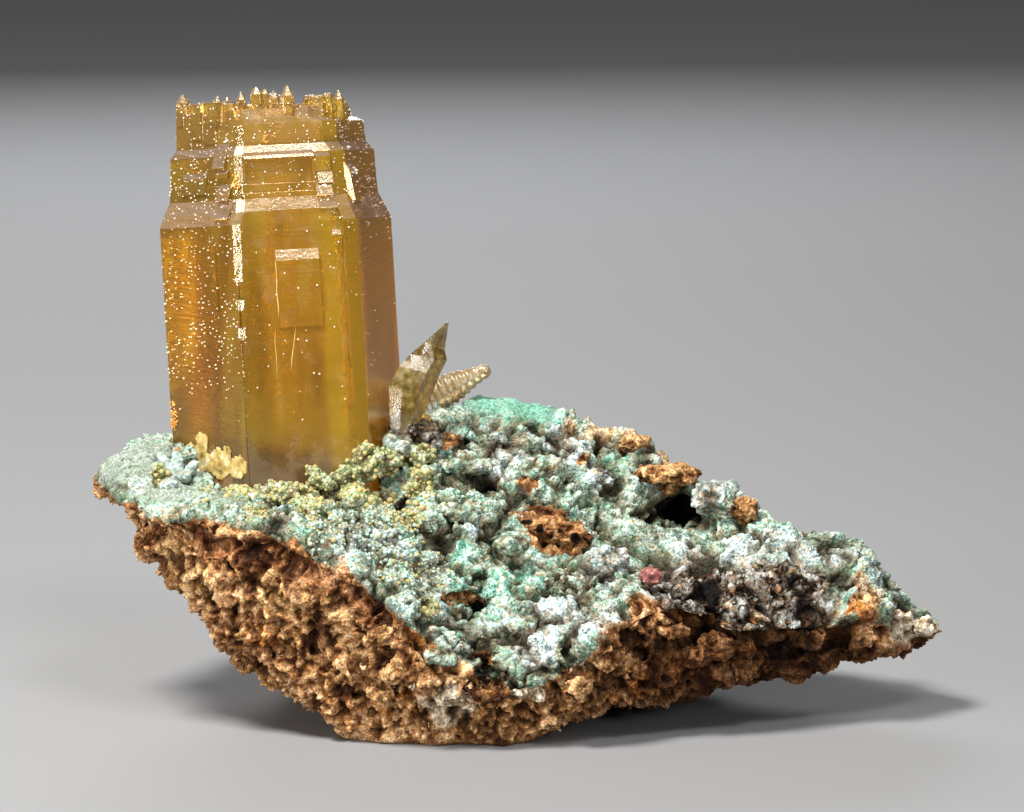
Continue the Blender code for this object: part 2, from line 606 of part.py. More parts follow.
def make_rock(parts, tools):
    rock = new_solid("matrix", rock_body(), parts)
    remesh = rock.modifiers.new("Remesh", "REMESH")
    remesh.mode = "VOXEL"
    remesh.voxel_size = ROCK_GRAIN * MM
    settle(rock)
    decimate = rock.modifiers.new("Decimate", "DECIMATE")
    decimate.ratio = ROCK_TRIANGLES / (2 * len(rock.data.polygons))
    settle(rock)
    mesh = bmesh.new()
    mesh.from_mesh(rock.data)
    everything = mesh.verts[:] + mesh.edges[:] + mesh.faces[:]
    cut = bmesh.ops.bisect_plane(mesh, geom=everything, plane_co=(0, 0, 0), plane_no=(0, 0, -1),
                                 clear_outer=True)
    rim = [item for item in cut["geom_cut"] if isinstance(item, bmesh.types.BMEdge)]
    bmesh.ops.holes_fill(mesh, edges=rim)
    bmesh.ops.triangulate(mesh, faces=mesh.faces)
    bmesh.ops.recalc_face_normals(mesh, faces=mesh.faces)
    mesh.to_mesh(rock.data)
    mesh.free()
    for index, cave in enumerate(ROCK_CAVES):
        cutter = new_cutter(f"cave_{index + 1}", cave_body(cave), tools)
        combine(rock, cutter, "DIFFERENCE")
    return rock


def make_prism(parts, tools):
    place = prism_place()
    prism = new_solid("main_crystal", prism_body(), parts, place)
    for index, plate in enumerate(PRISM_PLATES):
        fuse(prism, plate_body(plate), f"growth_plate_{index + 1}", place, tools)
    panel = plate_body(PANEL._replace(rise=2.0), sink=PANEL.rise)
    combine(prism, new_cutter("recessed_panel", panel, tools, place), "DIFFERENCE")
    for index, spire in enumerate(CROWN):
        fuse(prism, spire_body(spire), f"crown_tip_{index + 1}", place, tools)
    hollow = spire_body(CROWN_HOLLOW)
    combine(prism, new_cutter("crown_hollow", hollow, tools, place), "DIFFERENCE")
    for index, spire in enumerate(INNER_CROWN):
        fuse(prism, spire_body(spire), f"inner_tip_{index + 1}", place, tools)
    return prism


def make_spray(parts, tools):
    spray = new_solid("left_spray", grain_body(SPRAY_HEART), parts)
    for index, shoot in enumerate(SPRAY_SHOOTS):
        fuse(spray, shoot_body(shoot), f"spray_shoot_{index + 1}", None, tools)
    return spray


def seat_pieces(rock, tools):
    """Cut a seat in the rock for each piece, a hair wider than the piece."""
    root = PRISM_LEVELS[0]._replace(height=PRISM_ROOT - SEAT_GAP)
    socket = prism_body((root,) + PRISM_LEVELS[1:3], SEAT_GAP)
    seats = [("prism_seat", socket, prism_place()),
             ("blade_seat", blade_body(SEAT_GAP), None),
             ("finger_seat", finger_body(SEAT_GAP), None),
             ("chip_seat", grain_body(AMBER_CHIP, SEAT_GAP), None),
             ("grain_seat", grain_body(RED_GRAIN, SEAT_GAP), None),
             ("spray_seat", grain_body(SPRAY_HEART, SEAT_GAP), None)]
    for index, shoot in enumerate(SPRAY_SHOOTS):
        seats.append((f"shoot_seat_{index + 1}", shoot_body(shoot, SEAT_GAP), None))
    for name, mesh, place in seats:
        combine(rock, new_cutter(name, mesh, tools, place), "DIFFERENCE")


def paint(obj, name):
    """Give the object its own material."""
    look = LOOKS[name]
    material = bpy.data.materials.new(name)
    material.use_nodes = True
    shader = material.node_tree.nodes["Principled BSDF"]
    shader.inputs["Base Color"].default_value = look.colour
    shader.inputs["Roughness"].default_value = look.roughness
    shader.inputs["Transmission Weight"].default_value = look.transmission
    shader.inputs["IOR"].default_value = look.ior
    material.diffuse_color = look.colour
    obj.data.materials.clear()
    obj.data.materials.append(material)


def main():
    for obj in list(bpy.data.objects):
        bpy.data.objects.remove(obj, do_unlink=True)
    parts = new_collection("mimetite_specimen")
    tools = new_collection("cutters")
    rock = make_rock(parts, tools)
    prism = make_prism(parts, tools)
    blade = new_solid("blade_crystal", blade_body(), parts)
    finger = new_solid("ribbed_crystal", finger_body(), parts)
    chip = new_solid("amber_chip", grain_body(AMBER_CHIP), parts)
    grain = new_solid("red_grain", grain_body(RED_GRAIN), parts)
    spray = make_spray(parts, tools)
    seat_pieces(rock, tools)
    for obj, look in ((rock, "gossan_and_crust"), (prism, "amber_mimetite"),
                      (blade, "pale_mimetite"), (finger, "white_mimetite"),
                      (chip, "amber_chip"), (grain, "red_mineral"), (spray, "crusted_spray")):
        triangulate_and_weld(obj)
        paint(obj, look)


main()
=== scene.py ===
"""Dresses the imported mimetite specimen: crusted gossan, amber prism, small crystals and stage.

Sizes are in millimetres in the tables and in metres in the scene. The row's frame is +Z up,
the front towards -Y, and the origin under the middle of the specimen.
"""

import math
import random

import bmesh
import bpy
import numpy as np
from bpy.props import FloatProperty, FloatVectorProperty, IntProperty, PointerProperty
from mathutils import Matrix, Vector, noise


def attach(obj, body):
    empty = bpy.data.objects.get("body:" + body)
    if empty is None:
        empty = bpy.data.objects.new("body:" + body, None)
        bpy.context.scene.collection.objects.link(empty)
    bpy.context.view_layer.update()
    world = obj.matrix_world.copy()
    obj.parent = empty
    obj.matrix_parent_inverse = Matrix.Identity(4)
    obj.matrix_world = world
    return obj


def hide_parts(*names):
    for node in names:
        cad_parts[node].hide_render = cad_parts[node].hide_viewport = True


bl_info = {
    "name": "Mimetite Specimen",
    "version": (1, 0, 0),
    "blender": (4, 5, 0),
    "location": "3D View > Sidebar > Mineral",
    "description": "Dresses a mimetite prism on crusted gossan and sets its stage",
    "category": "Add Mesh",
}

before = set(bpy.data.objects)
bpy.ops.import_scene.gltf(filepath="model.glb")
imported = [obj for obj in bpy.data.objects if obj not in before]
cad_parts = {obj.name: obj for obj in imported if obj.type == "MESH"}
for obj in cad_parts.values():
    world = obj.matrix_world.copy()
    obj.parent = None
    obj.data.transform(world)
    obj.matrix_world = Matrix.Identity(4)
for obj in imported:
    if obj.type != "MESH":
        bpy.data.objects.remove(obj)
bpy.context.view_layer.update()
MM = 0.001
ROOT = "root"

# Prism: its foot, its lean and the bearing of its front, left and right sides.
PRISM_FOOT = Vector((-18.5, 4.2, 20.0))
LEAN_LEFT = math.radians(3.2)
LEAN_BACK = math.radians(8.0)
FRONT_BEARING = math.radians(283)
LEFT_BEARING = math.radians(223)
PRISM_REACH = 8.25
RIGHT_BEARING = math.radians(343)

# Where the front-left bevel of the prism ends, how far out and how wide it is.
BEVEL_BEARING = math.radians(253)
BEVEL_END = 14.4
BEVEL_REACH = 8.9
BEVEL_HALF = 1.2

# Orange stains and the crust at the foot, in the prism's own frame: x, y, z and reach.
STAIN_AREAS = (
    (-0.4, -6.5, 25.6, 0.9), (0.6, -6.4, 25.9, 0.7), (0.2, -6.3, 26.4, 0.5),
    (-2.5, -7.6, 22.1, 0.6), (-2.4, -7.5, 22.8, 0.5), (-3.0, -7.3, 21.6, 0.5),
    (-9.0, -2.5, 3.2, 0.6), (-9.0, -2.6, 4.0, 0.5), (-9.0, -2.4, 4.8, 0.4),
)
FOOT_CRUST_AREAS = (
    (-6.9, -4.7, 0.4, 1.3), (-5.2, -6.3, 0.0, 1.5), (-6.6, -5.0, 1.9, 0.9),
    (-3.6, -8.0, -0.3, 1.2), (-7.8, -3.8, 1.1, 0.9), (-4.4, -7.1, 0.8, 0.8),
)
# White scales on the stepped columns beside the panel, a painted highlight, in the prism's own frame.
HIGHLIGHT_SCALE_AREAS = (
    (4.3, -6.8, 20.4, 0.6), (4.2, -6.6, 21.5, 0.6), (4.1, -6.4, 22.6, 0.6),
    (4.0, -6.2, 23.7, 0.6), (-3.4, -7.1, 20.2, 0.6), (-3.4, -7.0, 21.4, 0.5),
    (-3.3, -6.7, 22.8, 0.5), (-3.2, -6.5, 24.4, 0.5), (-3.2, -6.3, 25.6, 0.4),
    (6.6, -4.0, 22.6, 0.5), (6.2, -3.6, 24.6, 0.4), (5.6, -3.4, 26.2, 0.4),
)
# Heights between which the prism's right side is levelled.
PLATE_SPAN = (5.5, 16.5)
# How far outside the prism its specks and crusts are centred.
GROWTH_LIFT = 0.05
# Where the closed part of the bevel still glints.
GLINTS = (12.6, 10.3)
# Hairs at the prism's front face: radius, depth and (x, height) points in its own frame. The second lies
# just outside the face and is a painted highlight along the panel's left edge.
HAIRS_AND_EDGE_GLINT = (
    (0.04, 0.1, ((0.94, 7.1), (1.05, 8.0), (1.26, 9.1), (1.5, 10.6), (1.8, 12.2), (2.3, 13.8))),
    (0.05, -0.14, ((0.2, 11.2), (0.24, 12.2), (0.18, 13.4), (0.26, 14.6), (0.2, 15.9))),
    (0.02, 0.08, ((-0.2, 6.4), (-0.14, 8.0), (-0.2, 9.4), (-0.1, 10.6))),
    (0.035, 0.1, ((3.7, 10.9), (3.95, 11.9), (4.05, 12.9), (3.9, 13.9))),
    (0.06, 0.05, ((2.3, 13.8), (2.7, 14.1), (3.1, 14.15))),
)

# Height of the crust's lower edge along the rock, as (x, z).
CRUST_EDGE = (
    (-34.2, 18.9), (-31.0, 17.7), (-28.5, 17.0), (-22.3, 17.1), (-17.0, 16.2), (-13.6, 14.6),
    (-11.7, 12.9), (-9.2, 10.2), (-6.1, 8.4), (-3.0, 6.2), (0.1, 4.8), (3.3, 5.8),
    (6.4, 8.6), (9.7, 11.8), (12.8, 11.4), (17.0, 9.8), (24.0, 8.9), (29.5, 8.3), (34.3, 6.3),
)

# Where each tint of the rock lies: centre x, y, z and reach.
TURQUOISE_AREAS = (
    (1.0, 6.9, 23.3, 3.0), (-2.3, 8.3, 23.9, 2.8), (-3.8, -8.7, 11.8, 2.2),
    (-0.5, -7.6, 12.4, 2.6), (1.7, -8.5, 11.6, 2.0), (9.4, -3.6, 14.0, 1.8),
    (15.4, 3.6, 16.6, 1.5), (8.0, 5.0, 19.6, 1.4), (4.0, 2.4, 18.9, 1.2),
    (-8.0, -7.6, 15.4, 1.6), (12.6, -1.0, 14.6, 1.6), (-4.4, -6.8, 14.6, 1.5),
)
PALE_AREAS = (
    (-13.0, -10.0, 16.2, 2.2), (-9.6, -8.8, 15.4, 1.8), (-17.6, -10.0, 17.0, 1.4),
    (-31.0, -1.1, 21.1, 3.8), (-28.0, -4.0, 19.5, 3.4), (6.6, -6.4, 13.4, 1.9),
    (3.3, -10.5, 10.4, 3.0), (6.4, -12.6, 9.7, 2.6), (13.6, -2.0, 14.2, 2.4),
    (18.3, -1.6, 14.4, 2.8), (22.6, -1.6, 14.0, 2.8), (26.4, -2.0, 13.4, 2.4),
    (29.6, -2.6, 12.0, 1.6), (31.6, -2.0, 8.6, 2.4), (15.6, 2.6, 16.6, 1.5),
    (4.0, 5.0, 21.0, 2.2), (-1.4, 2.4, 20.6, 2.4), (1.4, -13.6, 8.4, 2.4),
    (6.6, 3.0, 18.6, 1.6), (-3.4, -5.4, 15.6, 1.3),
)
WHITE_AREAS = (
    (-5.4, -13.8, 3.8, 2.6), (4.8, -14.4, 7.2, 1.4), (-8.2, -13.8, 7.4, 1.0),
    (31.6, -2.2, 7.4, 2.4), (1.0, -14.8, 5.2, 1.4), (29.4, -4.4, 8.4, 1.5),
    (33.4, -1.2, 7.0, 1.0), (19.0, -9.4, 12.4, 1.4), (21.6, -8.0, 11.2, 1.8),
    (24.2, -6.8, 11.0, 1.4), (11.4, -7.0, 13.2, 1.4), (16.4, -9.0, 10.4, 1.0),
)
TAN_AREAS = (
    (9.4, 6.6, 20.9, 1.3), (7.0, 7.6, 21.8, 1.7), (12.4, 5.9, 18.9, 1.9),
    (14.0, 6.6, 18.4, 1.6), (-27.0, -8.0, 14.2, 2.4), (-25.2, -8.2, 12.4, 2.0),
    (18.3, 2.6, 16.3, 1.3), (4.6, 6.4, 22.2, 1.2), (-19.0, -11.4, 12.2, 2.2),
    (28.0, -5.4, 10.6, 1.4), (-14.4, -13.4, 10.6, 1.8), (11.4, -11.4, 8.6, 1.1),
    (-9.2, -13.2, 5.8, 1.6), (27.4, -5.0, 12.0, 1.0),
)
YELLOW_AREAS = (
    (-17.3, -4.6, 19.3, 3.8), (-12.5, -3.6, 19.0, 3.2), (-21.6, -5.0, 19.0, 2.2),
    (-7.8, -1.8, 19.2, 1.8), (-11.8, 2.0, 21.0, 1.9), (-20.4, -9.0, 17.6, 1.2),
    (-7.4, -12.6, 11.0, 1.6), (-8.6, -5.0, 17.2, 1.6), (-16.4, -8.4, 17.9, 1.6),
)
# Where yellow nodules only fleck the crust.
FLECKED_AREAS = (
    (-14.7, -10.0, 16.8, 2.8), (-11.0, -9.4, 15.8, 2.6), (-9.2, -7.0, 16.6, 2.6),
    (-7.2, -9.0, 14.4, 2.4), (-9.4, -12.0, 13.4, 1.8), (-5.6, -3.0, 17.8, 1.8),
    (-25.4, -6.4, 18.9, 1.8), (-28.0, -4.0, 19.8, 0.9), (-3.4, -3.0, 17.4, 1.6),
)
BROWN_AREAS = (
    (2.2, -2.2, 15.6, 3.0), (4.4, -3.4, 14.8, 1.8), (11.9, 5.4, 17.6, 1.7), (-5.5, 3.4, 21.5, 1.2),
    (5.4, 3.8, 19.8, 0.9), (-5.4, -10.7, 11.3, 1.3), (0.6, 1.0, 18.2, 1.3),
    (18.3, 2.0, 15.6, 1.2), (-8.5, 3.0, 21.8, 1.3), (10.4, -11.0, 10.6, 1.8),
    (27.4, -5.8, 10.0, 2.0), (23.4, -7.0, 9.4, 1.3), (12.6, -8.6, 12.2, 1.2),
    (17.4, -8.4, 12.6, 1.2), (14.4, -4.8, 13.8, 0.9), (20.6, -6.8, 12.6, 0.9),
)
ORANGE_AREAS = (
    (-7.6, -14.7, 10.1, 1.8), (-30.4, -7.0, 15.0, 1.6), (-27.6, -5.0, 20.2, 0.7),
    (-20.3, -11.2, 8.4, 1.4), (12.7, -10.4, 11.0, 1.2), (-9.2, -14.0, 4.6, 1.4),
    (27.0, -6.4, 9.0, 1.4), (9.6, -11.9, 4.6, 1.6), (13.4, -11.0, 5.4, 1.4),
)
# Spots pushed in a little and painted dark as shade.
SHADE_AREAS = (
    (14.0, -9.6, 10.0, 1.2), (-3.2, -9.8, 11.3, 1.0), (-2.2, -15.2, 6.4, 1.3),
    (-24.4, -11.0, 15.6, 1.2), (9.0, -12.4, 8.4, 1.2), (16.0, -10.0, 7.6, 1.8),
    (4.0, -14.6, 4.2, 1.2), (-21.0, -11.4, 15.6, 1.0), (19.6, -9.4, 8.0, 1.8),
    (0.8, -5.2, 14.4, 0.7), (23.8, -7.2, 9.6, 1.3), (22.6, -7.6, 7.6, 1.6),
    (-5.0, -4.3, 16.4, 0.9), (0.4, 0.4, 17.8, 1.0), (-7.4, -14.4, 7.2, 0.9),
    (-7.0, -14.0, 5.8, 0.8), (26.2, -6.4, 8.4, 1.0), (28.4, -5.0, 8.0, 0.6),
    (10.6, -11.4, 10.2, 1.0), (-1.4, -5.0, 14.6, 0.7), (14.6, -4.4, 13.6, 1.0),
    (-3.6, 0.4, 18.6, 1.3), (-6.0, -6.0, 15.6, 0.9), (2.6, 1.6, 18.2, 0.8),
    (17.6, -7.6, 12.4, 0.9), (20.2, -6.6, 12.4, 0.8), (12.4, -8.6, 12.4, 0.8),
)
# Deep holes, pushed in and painted black as shade.
CAVE_AREAS = (
    (13.2, 6.0, 15.4, 1.6), (12.6, 4.2, 15.8, 1.2), (13.8, 4.4, 15.6, 1.2),
    (8.1, -2.8, 14.2, 1.0), (4.6, -4.4, 15.0, 0.45), (1.8, -3.8, 15.7, 0.4),
    (-0.4, -4.0, 15.0, 0.6), (3.4, -3.8, 15.4, 0.35), (5.6, -4.2, 14.6, 0.4),
    (0.6, -3.2, 16.0, 0.4), (2.6, -3.9, 14.9, 0.35),
    (-2.4, -15.0, 6.2, 0.9), (-3.4, -9.8, 11.4, 0.6), (-5.0, -4.3, 16.4, 0.5),
    (9.0, -12.2, 8.2, 0.7), (4.0, -14.4, 4.2, 0.7), (-7.2, -14.2, 6.6, 0.6),
)
# Clefts in the shelf's face, painted black as shade and not cut in.
CLEFT_SHADE_AREAS = (
    (14.6, -9.6, 8.8, 1.0), (15.2, -9.4, 7.8, 0.9), (14.9, -8.4, 13.2, 1.3), (14.7, -7.8, 14.6, 1.2),
    (15.0, -8.8, 11.8, 1.1), (14.5, -6.8, 15.0, 1.0), (22.0, -6.6, 13.8, 0.9),
    (14.8, -5.4, 14.4, 1.0), (14.8, -4.4, 14.2, 0.8), (12.6, -9.2, 12.2, 0.6), (17.8, -8.4, 10.8, 0.6),
    (18.6, -8.0, 12.8, 0.6), (22.0, -6.6, 12.4, 0.6), (12.6, -7.6, 13.6, 0.6),
    (23.6, -7.4, 9.8, 0.7), (21.0, -8.2, 10.2, 0.5), (-10.5, -13.6, 7.4, 0.7),
    (-8.0, -14.2, 7.8, 0.6), (-6.0, -14.6, 5.6, 0.7), (-3.0, -15.0, 7.2, 0.7),
    (-1.6, -14.8, 5.2, 0.6), (-9.8, -13.4, 4.6, 0.6), (1.8, -14.4, 4.6, 0.7),
    (3.4, -14.0, 3.4, 0.6), (-7.4, -13.4, 2.6, 0.5), (-4.0, -13.6, 2.4, 0.6),
    (-12.6, -13.6, 8.0, 0.5), (-15.0, -13.4, 8.6, 0.5), (-5.0, -15.0, 9.0, 0.5),
)
# Where the crust is a smooth sheet.
SMOOTH_AREAS = (
    (-31.0, -1.0, 21.0, 3.4), (-27.4, -5.6, 18.9, 2.6), (-23.1, -7.3, 18.6, 1.4),
    (-1.0, 8.3, 23.9, 2.3), (1.4, 7.4, 23.4, 1.8), (-3.2, 8.0, 23.8, 1.4),
)
# Clumps grown on the rock: centre, half sizes and what they are made of.
CLUMPS = (
    ((-11.9, -2.6, 21.2), (1.5, 0.9, 1.0), "nodular"), ((-12.6, -2.9, 20.3), (1.7, 1.0, 1.0), "nodular"),
    ((-16.1, -4.8, 20.2), (0.8, 0.6, 0.7), "nodular"), ((-10.6, -1.4, 20.5), (1.3, 1.0, 0.9), "nodular"),
    ((-15.4, -4.6, 19.5), (1.5, 0.8, 0.7), "nodular"), ((-17.8, -5.4, 19.0), (1.4, 0.7, 0.6), "nodular"),
    ((-13.8, -3.9, 19.7), (1.3, 0.8, 0.8), "nodular"), ((-9.1, 1.2, 22.2), (1.5, 0.9, 1.4), "dark"),
    ((-7.4, 2.0, 22.0), (1.2, 0.9, 1.4), "dark"), ((-9.8, 0.2, 21.3), (1.4, 0.9, 1.2), "mixed"),
    ((-8.4, 0.6, 20.8), (1.6, 1.1, 1.0), "nodular"), ((-28.4, -4.9, 20.0), (0.8, 0.7, 0.9), "nodular"),
    ((-27.6, -5.3, 19.5), (0.7, 0.6, 0.6), "pale"), ((12.4, 4.2, 18.5), (2.5, 1.6, 0.9), "ochre"),
    ((10.4, 4.8, 18.2), (1.4, 1.2, 0.9), "brown"), ((9.6, 6.2, 20.6), (1.4, 1.0, 0.8), "tan"),
    ((15.5, 2.9, 16.8), (1.5, 1.3, 1.4), "pale"), ((16.7, 2.6, 16.1), (1.0, 0.9, 1.1), "green"),
    ((18.3, 2.2, 16.0), (1.2, 0.9, 1.1), "ochre"), ((7.1, -6.4, 13.7), (1.6, 1.0, 1.0), "pale"),
    ((12.1, -11.0, 8.9), (1.4, 0.8, 0.7), "brown"), ((-4.0, 1.2, 19.8), (2.0, 1.1, 0.9), "mixed"),
    ((-9.6, -14.0, 6.2), (1.1, 0.7, 0.8), "tan"), ((-9.3, -13.9, 8.6), (1.0, 0.6, 0.7), "tan"),
    ((-12.4, -13.8, 9.4), (1.0, 0.5, 0.6), "brown"), ((-10.8, -14.2, 9.0), (1.3, 0.7, 0.9), "tan"),
    ((-8.6, -14.4, 7.0), (1.2, 0.7, 0.8), "tan"), ((-6.0, -14.8, 7.8), (1.2, 0.7, 0.8), "mixed"),
    ((-7.2, -13.8, 5.0), (1.3, 0.7, 0.8), "chalk"), ((-4.2, -13.8, 3.9), (1.6, 0.7, 0.7), "chalk"),
    ((-3.0, -14.5, 5.6), (0.9, 0.6, 0.7), "tan"), ((-10.6, -13.3, 4.6), (1.2, 0.7, 0.8), "tan"),
    ((-12.4, -13.5, 6.6), (1.1, 0.6, 0.8), "brown"), ((0.8, -14.1, 4.6), (1.2, 0.7, 0.8), "chalk"),
    ((4.6, -14.1, 5.0), (1.2, 0.7, 0.8), "tan"), ((-13.6, -13.9, 10.4), (1.2, 0.6, 0.8), "tan"),
    ((-29.6, -6.8, 15.2), (0.9, 0.7, 1.0), "brown"),
    ((2.0, 2.0, 19.4), (1.9, 1.2, 1.0), "mixed"), ((-0.6, -6.4, 14.9), (1.5, 1.0, 0.8), "green"),
    ((-4.6, -4.6, 17.0), (1.6, 1.0, 0.8), "mixed"), ((2.8, -2.6, 15.3), (2.7, 1.3, 1.0), "brown"),
    ((4.6, -3.4, 14.8), (1.6, 1.0, 0.8), "brown"), ((0.4, -2.2, 15.9), (1.4, 1.0, 0.7), "brown"),
    # Clumps under the shelf, darkened by painted shadow.
    ((15.6, -9.9, 7.4), (1.7, 0.9, 1.2), "shadowed_brown"), ((14.0, -10.4, 6.6), (1.4, 0.8, 0.9), "shadowed_brown"),
    ((17.4, -9.4, 7.0), (1.3, 0.8, 0.9), "shadowed_brown"), ((32.6, -1.6, 7.2), (1.1, 0.8, 0.7), "chalk"),
    ((30.4, -3.4, 8.2), (1.2, 0.8, 0.7), "chalk"), ((-5.6, -13.4, 4.2), (1.5, 0.7, 0.8), "chalk"),
)
# Which masks each sort of clump wears; the shade mask is painted shadow.
CLUMP_MASKS = {
    "nodular": {"crust": 1.0, "yellow": 1.0, "flecked": 0.8}, "green": {"crust": 1.0},
    "pale": {"crust": 1.0, "pale": 1.0}, "dark": {"crust": 1.0, "turquoise": 0.5, "grey_and_shade": 0.9},
    "brown": {"crust": 0.0, "shade": 0.2}, "tan": {"crust": 0.2, "tan": 1.0},
    "shadowed_brown": {"crust": 0.0, "shade": 1.0}, "ochre": {"crust": 0.1, "tan": 0.5},
    "mixed": {"crust": 0.62, "yellow": 0.3},
    "chalk": {"crust": 0.3, "white": 1.0, "pale": 1.0},
}
# Knolls on the rock: centre x, y, z, reach and lift.
KNOLLS = (
    (-11.9, -0.2, 20.3, 1.5, 1.5), (-16.2, -2.8, 19.8, 0.9, 0.9), (-27.6, -4.6, 19.8, 0.9, 0.7),
    (-4.9, -4.0, 17.6, 1.7, 0.7), (-1.6, -6.9, 14.9, 1.2, 0.7), (-5.0, 0.6, 19.8, 1.5, 0.8),
    (11.9, 5.0, 18.3, 1.5, 1.1), (15.6, 3.4, 16.6, 1.1, 0.9), (1.6, 2.6, 19.6, 1.7, 0.9),
    (6.6, -6.4, 13.4, 1.3, 0.8), (-9.4, -13.6, 6.4, 1.1, 0.9), (12.2, -11.2, 8.8, 0.8, 0.6),
    (9.2, -0.6, 15.8, 1.0, 0.8), (-17.6, -11.4, 12.6, 1.2, 0.6), (4.4, -12.6, 8.8, 2.0, 0.6),
)
# The shelf's face on the right: x range, where it starts to fall and how far it drops.
SHELF_FROM = 8.5
SHELF_TO = 27.5
SHELF_BACK = -1.6
SHELF_DROP = 1.7
# The hollow under the right-hand shelf: x range, depth inward.
UNDERCUT_FROM = 11.0
UNDERCUT_TO = 29.0
UNDERCUT_DEPTH = 1.3
# The most that the rock's surface is pushed in.
DEEPEST = 1.7
FLOOR_HALF_WIDTH = 0.3
FLOOR_HALF_DEPTH = 1.1
FLOOR_FRONT = 0.35


class SpecimenSizes(bpy.types.PropertyGroup):
    """Sizes of the rock and of what grows on it."""

    rock_voxel: FloatProperty(
        name="Rock Detail", description="Spacing of the rock's points in millimetres",
        default=0.135, min=0.1, max=1.0)
    rock_triangles: IntProperty(
        name="Rock Triangles", description="Most triangles that the rock keeps",
        default=192000, min=20000)
    druse_spacing: FloatProperty(
        name="Druse Spacing", description="Least distance between druse grains",
        default=0.32 * MM, unit="LENGTH")
    druse_size: FloatProperty(
        name="Druse Size", description="Radius of a druse grain",
        default=0.12 * MM, unit="LENGTH")
    nodule_spacing: FloatProperty(
        name="Nodule Spacing", description="Least distance between nodules at the prism's foot",
        default=0.6 * MM, unit="LENGTH")
    nodule_size: FloatProperty(
        name="Nodule Size", description="Radius of a yellow nodule",
        default=0.26 * MM, unit="LENGTH")
    crumb_spacing: FloatProperty(
        name="Crumb Spacing", description="Least distance between crumbs of bare gossan",
        default=0.32 * MM, unit="LENGTH")
    crumb_size: FloatProperty(
        name="Crumb Size", description="Radius of a crumb of bare gossan",
        default=0.1 * MM, unit="LENGTH")


class SpecimenColours(bpy.types.PropertyGroup):
    """Colours of the crystals and of the stage."""

    amber: FloatVectorProperty(
        name="Amber", description="Body colour of the prism", subtype="COLOR", size=3,
        default=(0.85, 0.47, 0.05), min=0.0, max=1.0)
    pale: FloatVectorProperty(
        name="Pale Amber", description="Body colour of the blade", subtype="COLOR", size=3,
        default=(0.86, 0.68, 0.14), min=0.0, max=1.0)
    floor: FloatVectorProperty(
        name="Floor", description="Colour of the floor", subtype="COLOR", size=3,
        default=(0.2, 0.2, 0.202), min=0.0, max=1.0)


def sizes():
    return bpy.context.scene.specimen_sizes


def colours():
    return bpy.context.scene.specimen_colours


# Node helpers


def add_node(tree, kind, inputs=None, **settings):
    """A node with its settings; inputs take a value or another node's socket."""
    item = tree.nodes.new(kind)
    for name, value in settings.items():
        setattr(item, name, value)
    for name, value in (inputs or {}).items():
        if isinstance(value, bpy.types.NodeSocket):
            tree.links.new(value, item.inputs[name])
        else:
            item.inputs[name].default_value = value
    return item


def place_in_mm(tree, centre=(0, 0, 0), turn=(0, 0, 0), scale=(1000, 1000, 1000)):
    """Object coordinates in millimetres, measured from a centre given in millimetres."""
    coordinates = add_node(tree, "ShaderNodeTexCoord")
    inputs = {
        "Vector": coordinates.outputs["Object"],
        "Location": [-part * size * MM for part, size in zip(centre, scale)],
        "Rotation": turn,
        "Scale": scale,
    }
    return add_node(tree, "ShaderNodeMapping", inputs).outputs["Vector"]


def noise_value(tree, place, width, detail=4.0, rough=0.55, twist=0.0):
    """Noise whose blobs are about as wide as given, from 0 to 1."""
    inputs = {"Vector": place, "Scale": 1.0 / width, "Detail": detail, "Roughness": rough,
              "Distortion": twist}
    return add_node(tree, "ShaderNodeTexNoise", inputs).outputs["Fac"]


def cell_value(tree, place, width, output="Distance", feature="F1"):
    inputs = {"Vector": place, "Scale": 1.0 / width}
    return add_node(tree, "ShaderNodeTexVoronoi", inputs, feature=feature).outputs[output]


def ramp(tree, value, stops, ease="LINEAR"):
    """A colour ramp through (place, colour) stops."""
    item = add_node(tree, "ShaderNodeValToRGB", {"Fac": value})
    band = item.color_ramp
    band.interpolation = ease
    while len(band.elements) < len(stops):
        band.elements.new(0.5)
    for element, (place, colour) in zip(band.elements, stops):
        element.position = place
        element.color = tuple(colour) + (1.0,)
    return item.outputs["Color"]


def remap(tree, value, low, high, to_low=0.0, to_high=1.0):
    """A smooth step of a value between two limits."""
    inputs = {"Value": value, "From Min": low, "From Max": high, "To Min": to_low,
              "To Max": to_high}
    item = add_node(tree, "ShaderNodeMapRange", inputs, interpolation_type="SMOOTHSTEP")
    return item.outputs["Result"]


def maths(tree, operation, first, second=0.5):
    return add_node(tree, "ShaderNodeMath", {0: first, 1: second},
                    operation=operation).outputs[0]


def blend(tree, share, first, second, kind="MIX"):
    """A mix of two colours."""
    item = add_node(tree, "ShaderNodeMix", data_type="RGBA", blend_type=kind)
    for name, value in (("Factor_Float", share), ("A_Color", first), ("B_Color", second)):
        socket = next(one for one in item.inputs if one.identifier == name)
        if isinstance(value, bpy.types.NodeSocket):
            tree.links.new(value, socket)
        else:
            socket.default_value = value if name == "Factor_Float" else tuple(value) + (1.0,)
    return next(one for one in item.outputs if one.identifier == "Result_Color")


def mask_value(tree, name):
    return add_node(tree, "ShaderNodeAttribute", attribute_name=name).outputs["Fac"]


def ragged(tree, mask, grain, low=0.35, high=0.65, strength=0.7):
    """A mask whose edge is broken up by noise."""
    shift = maths(tree, "MULTIPLY", maths(tree, "SUBTRACT", grain, 0.5), strength)
    return remap(tree, maths(tree, "ADD", mask, shift), low, high)


def bump(tree, height, distance, strength=1.0, under=None):
    """A bump of a height map, given how deep it is in millimetres."""
    inputs = {"Height": height, "Distance": distance * MM, "Strength": strength}
    if under is not None:
        inputs["Normal"] = under
    return add_node(tree, "ShaderNodeBump", inputs).outputs["Normal"]


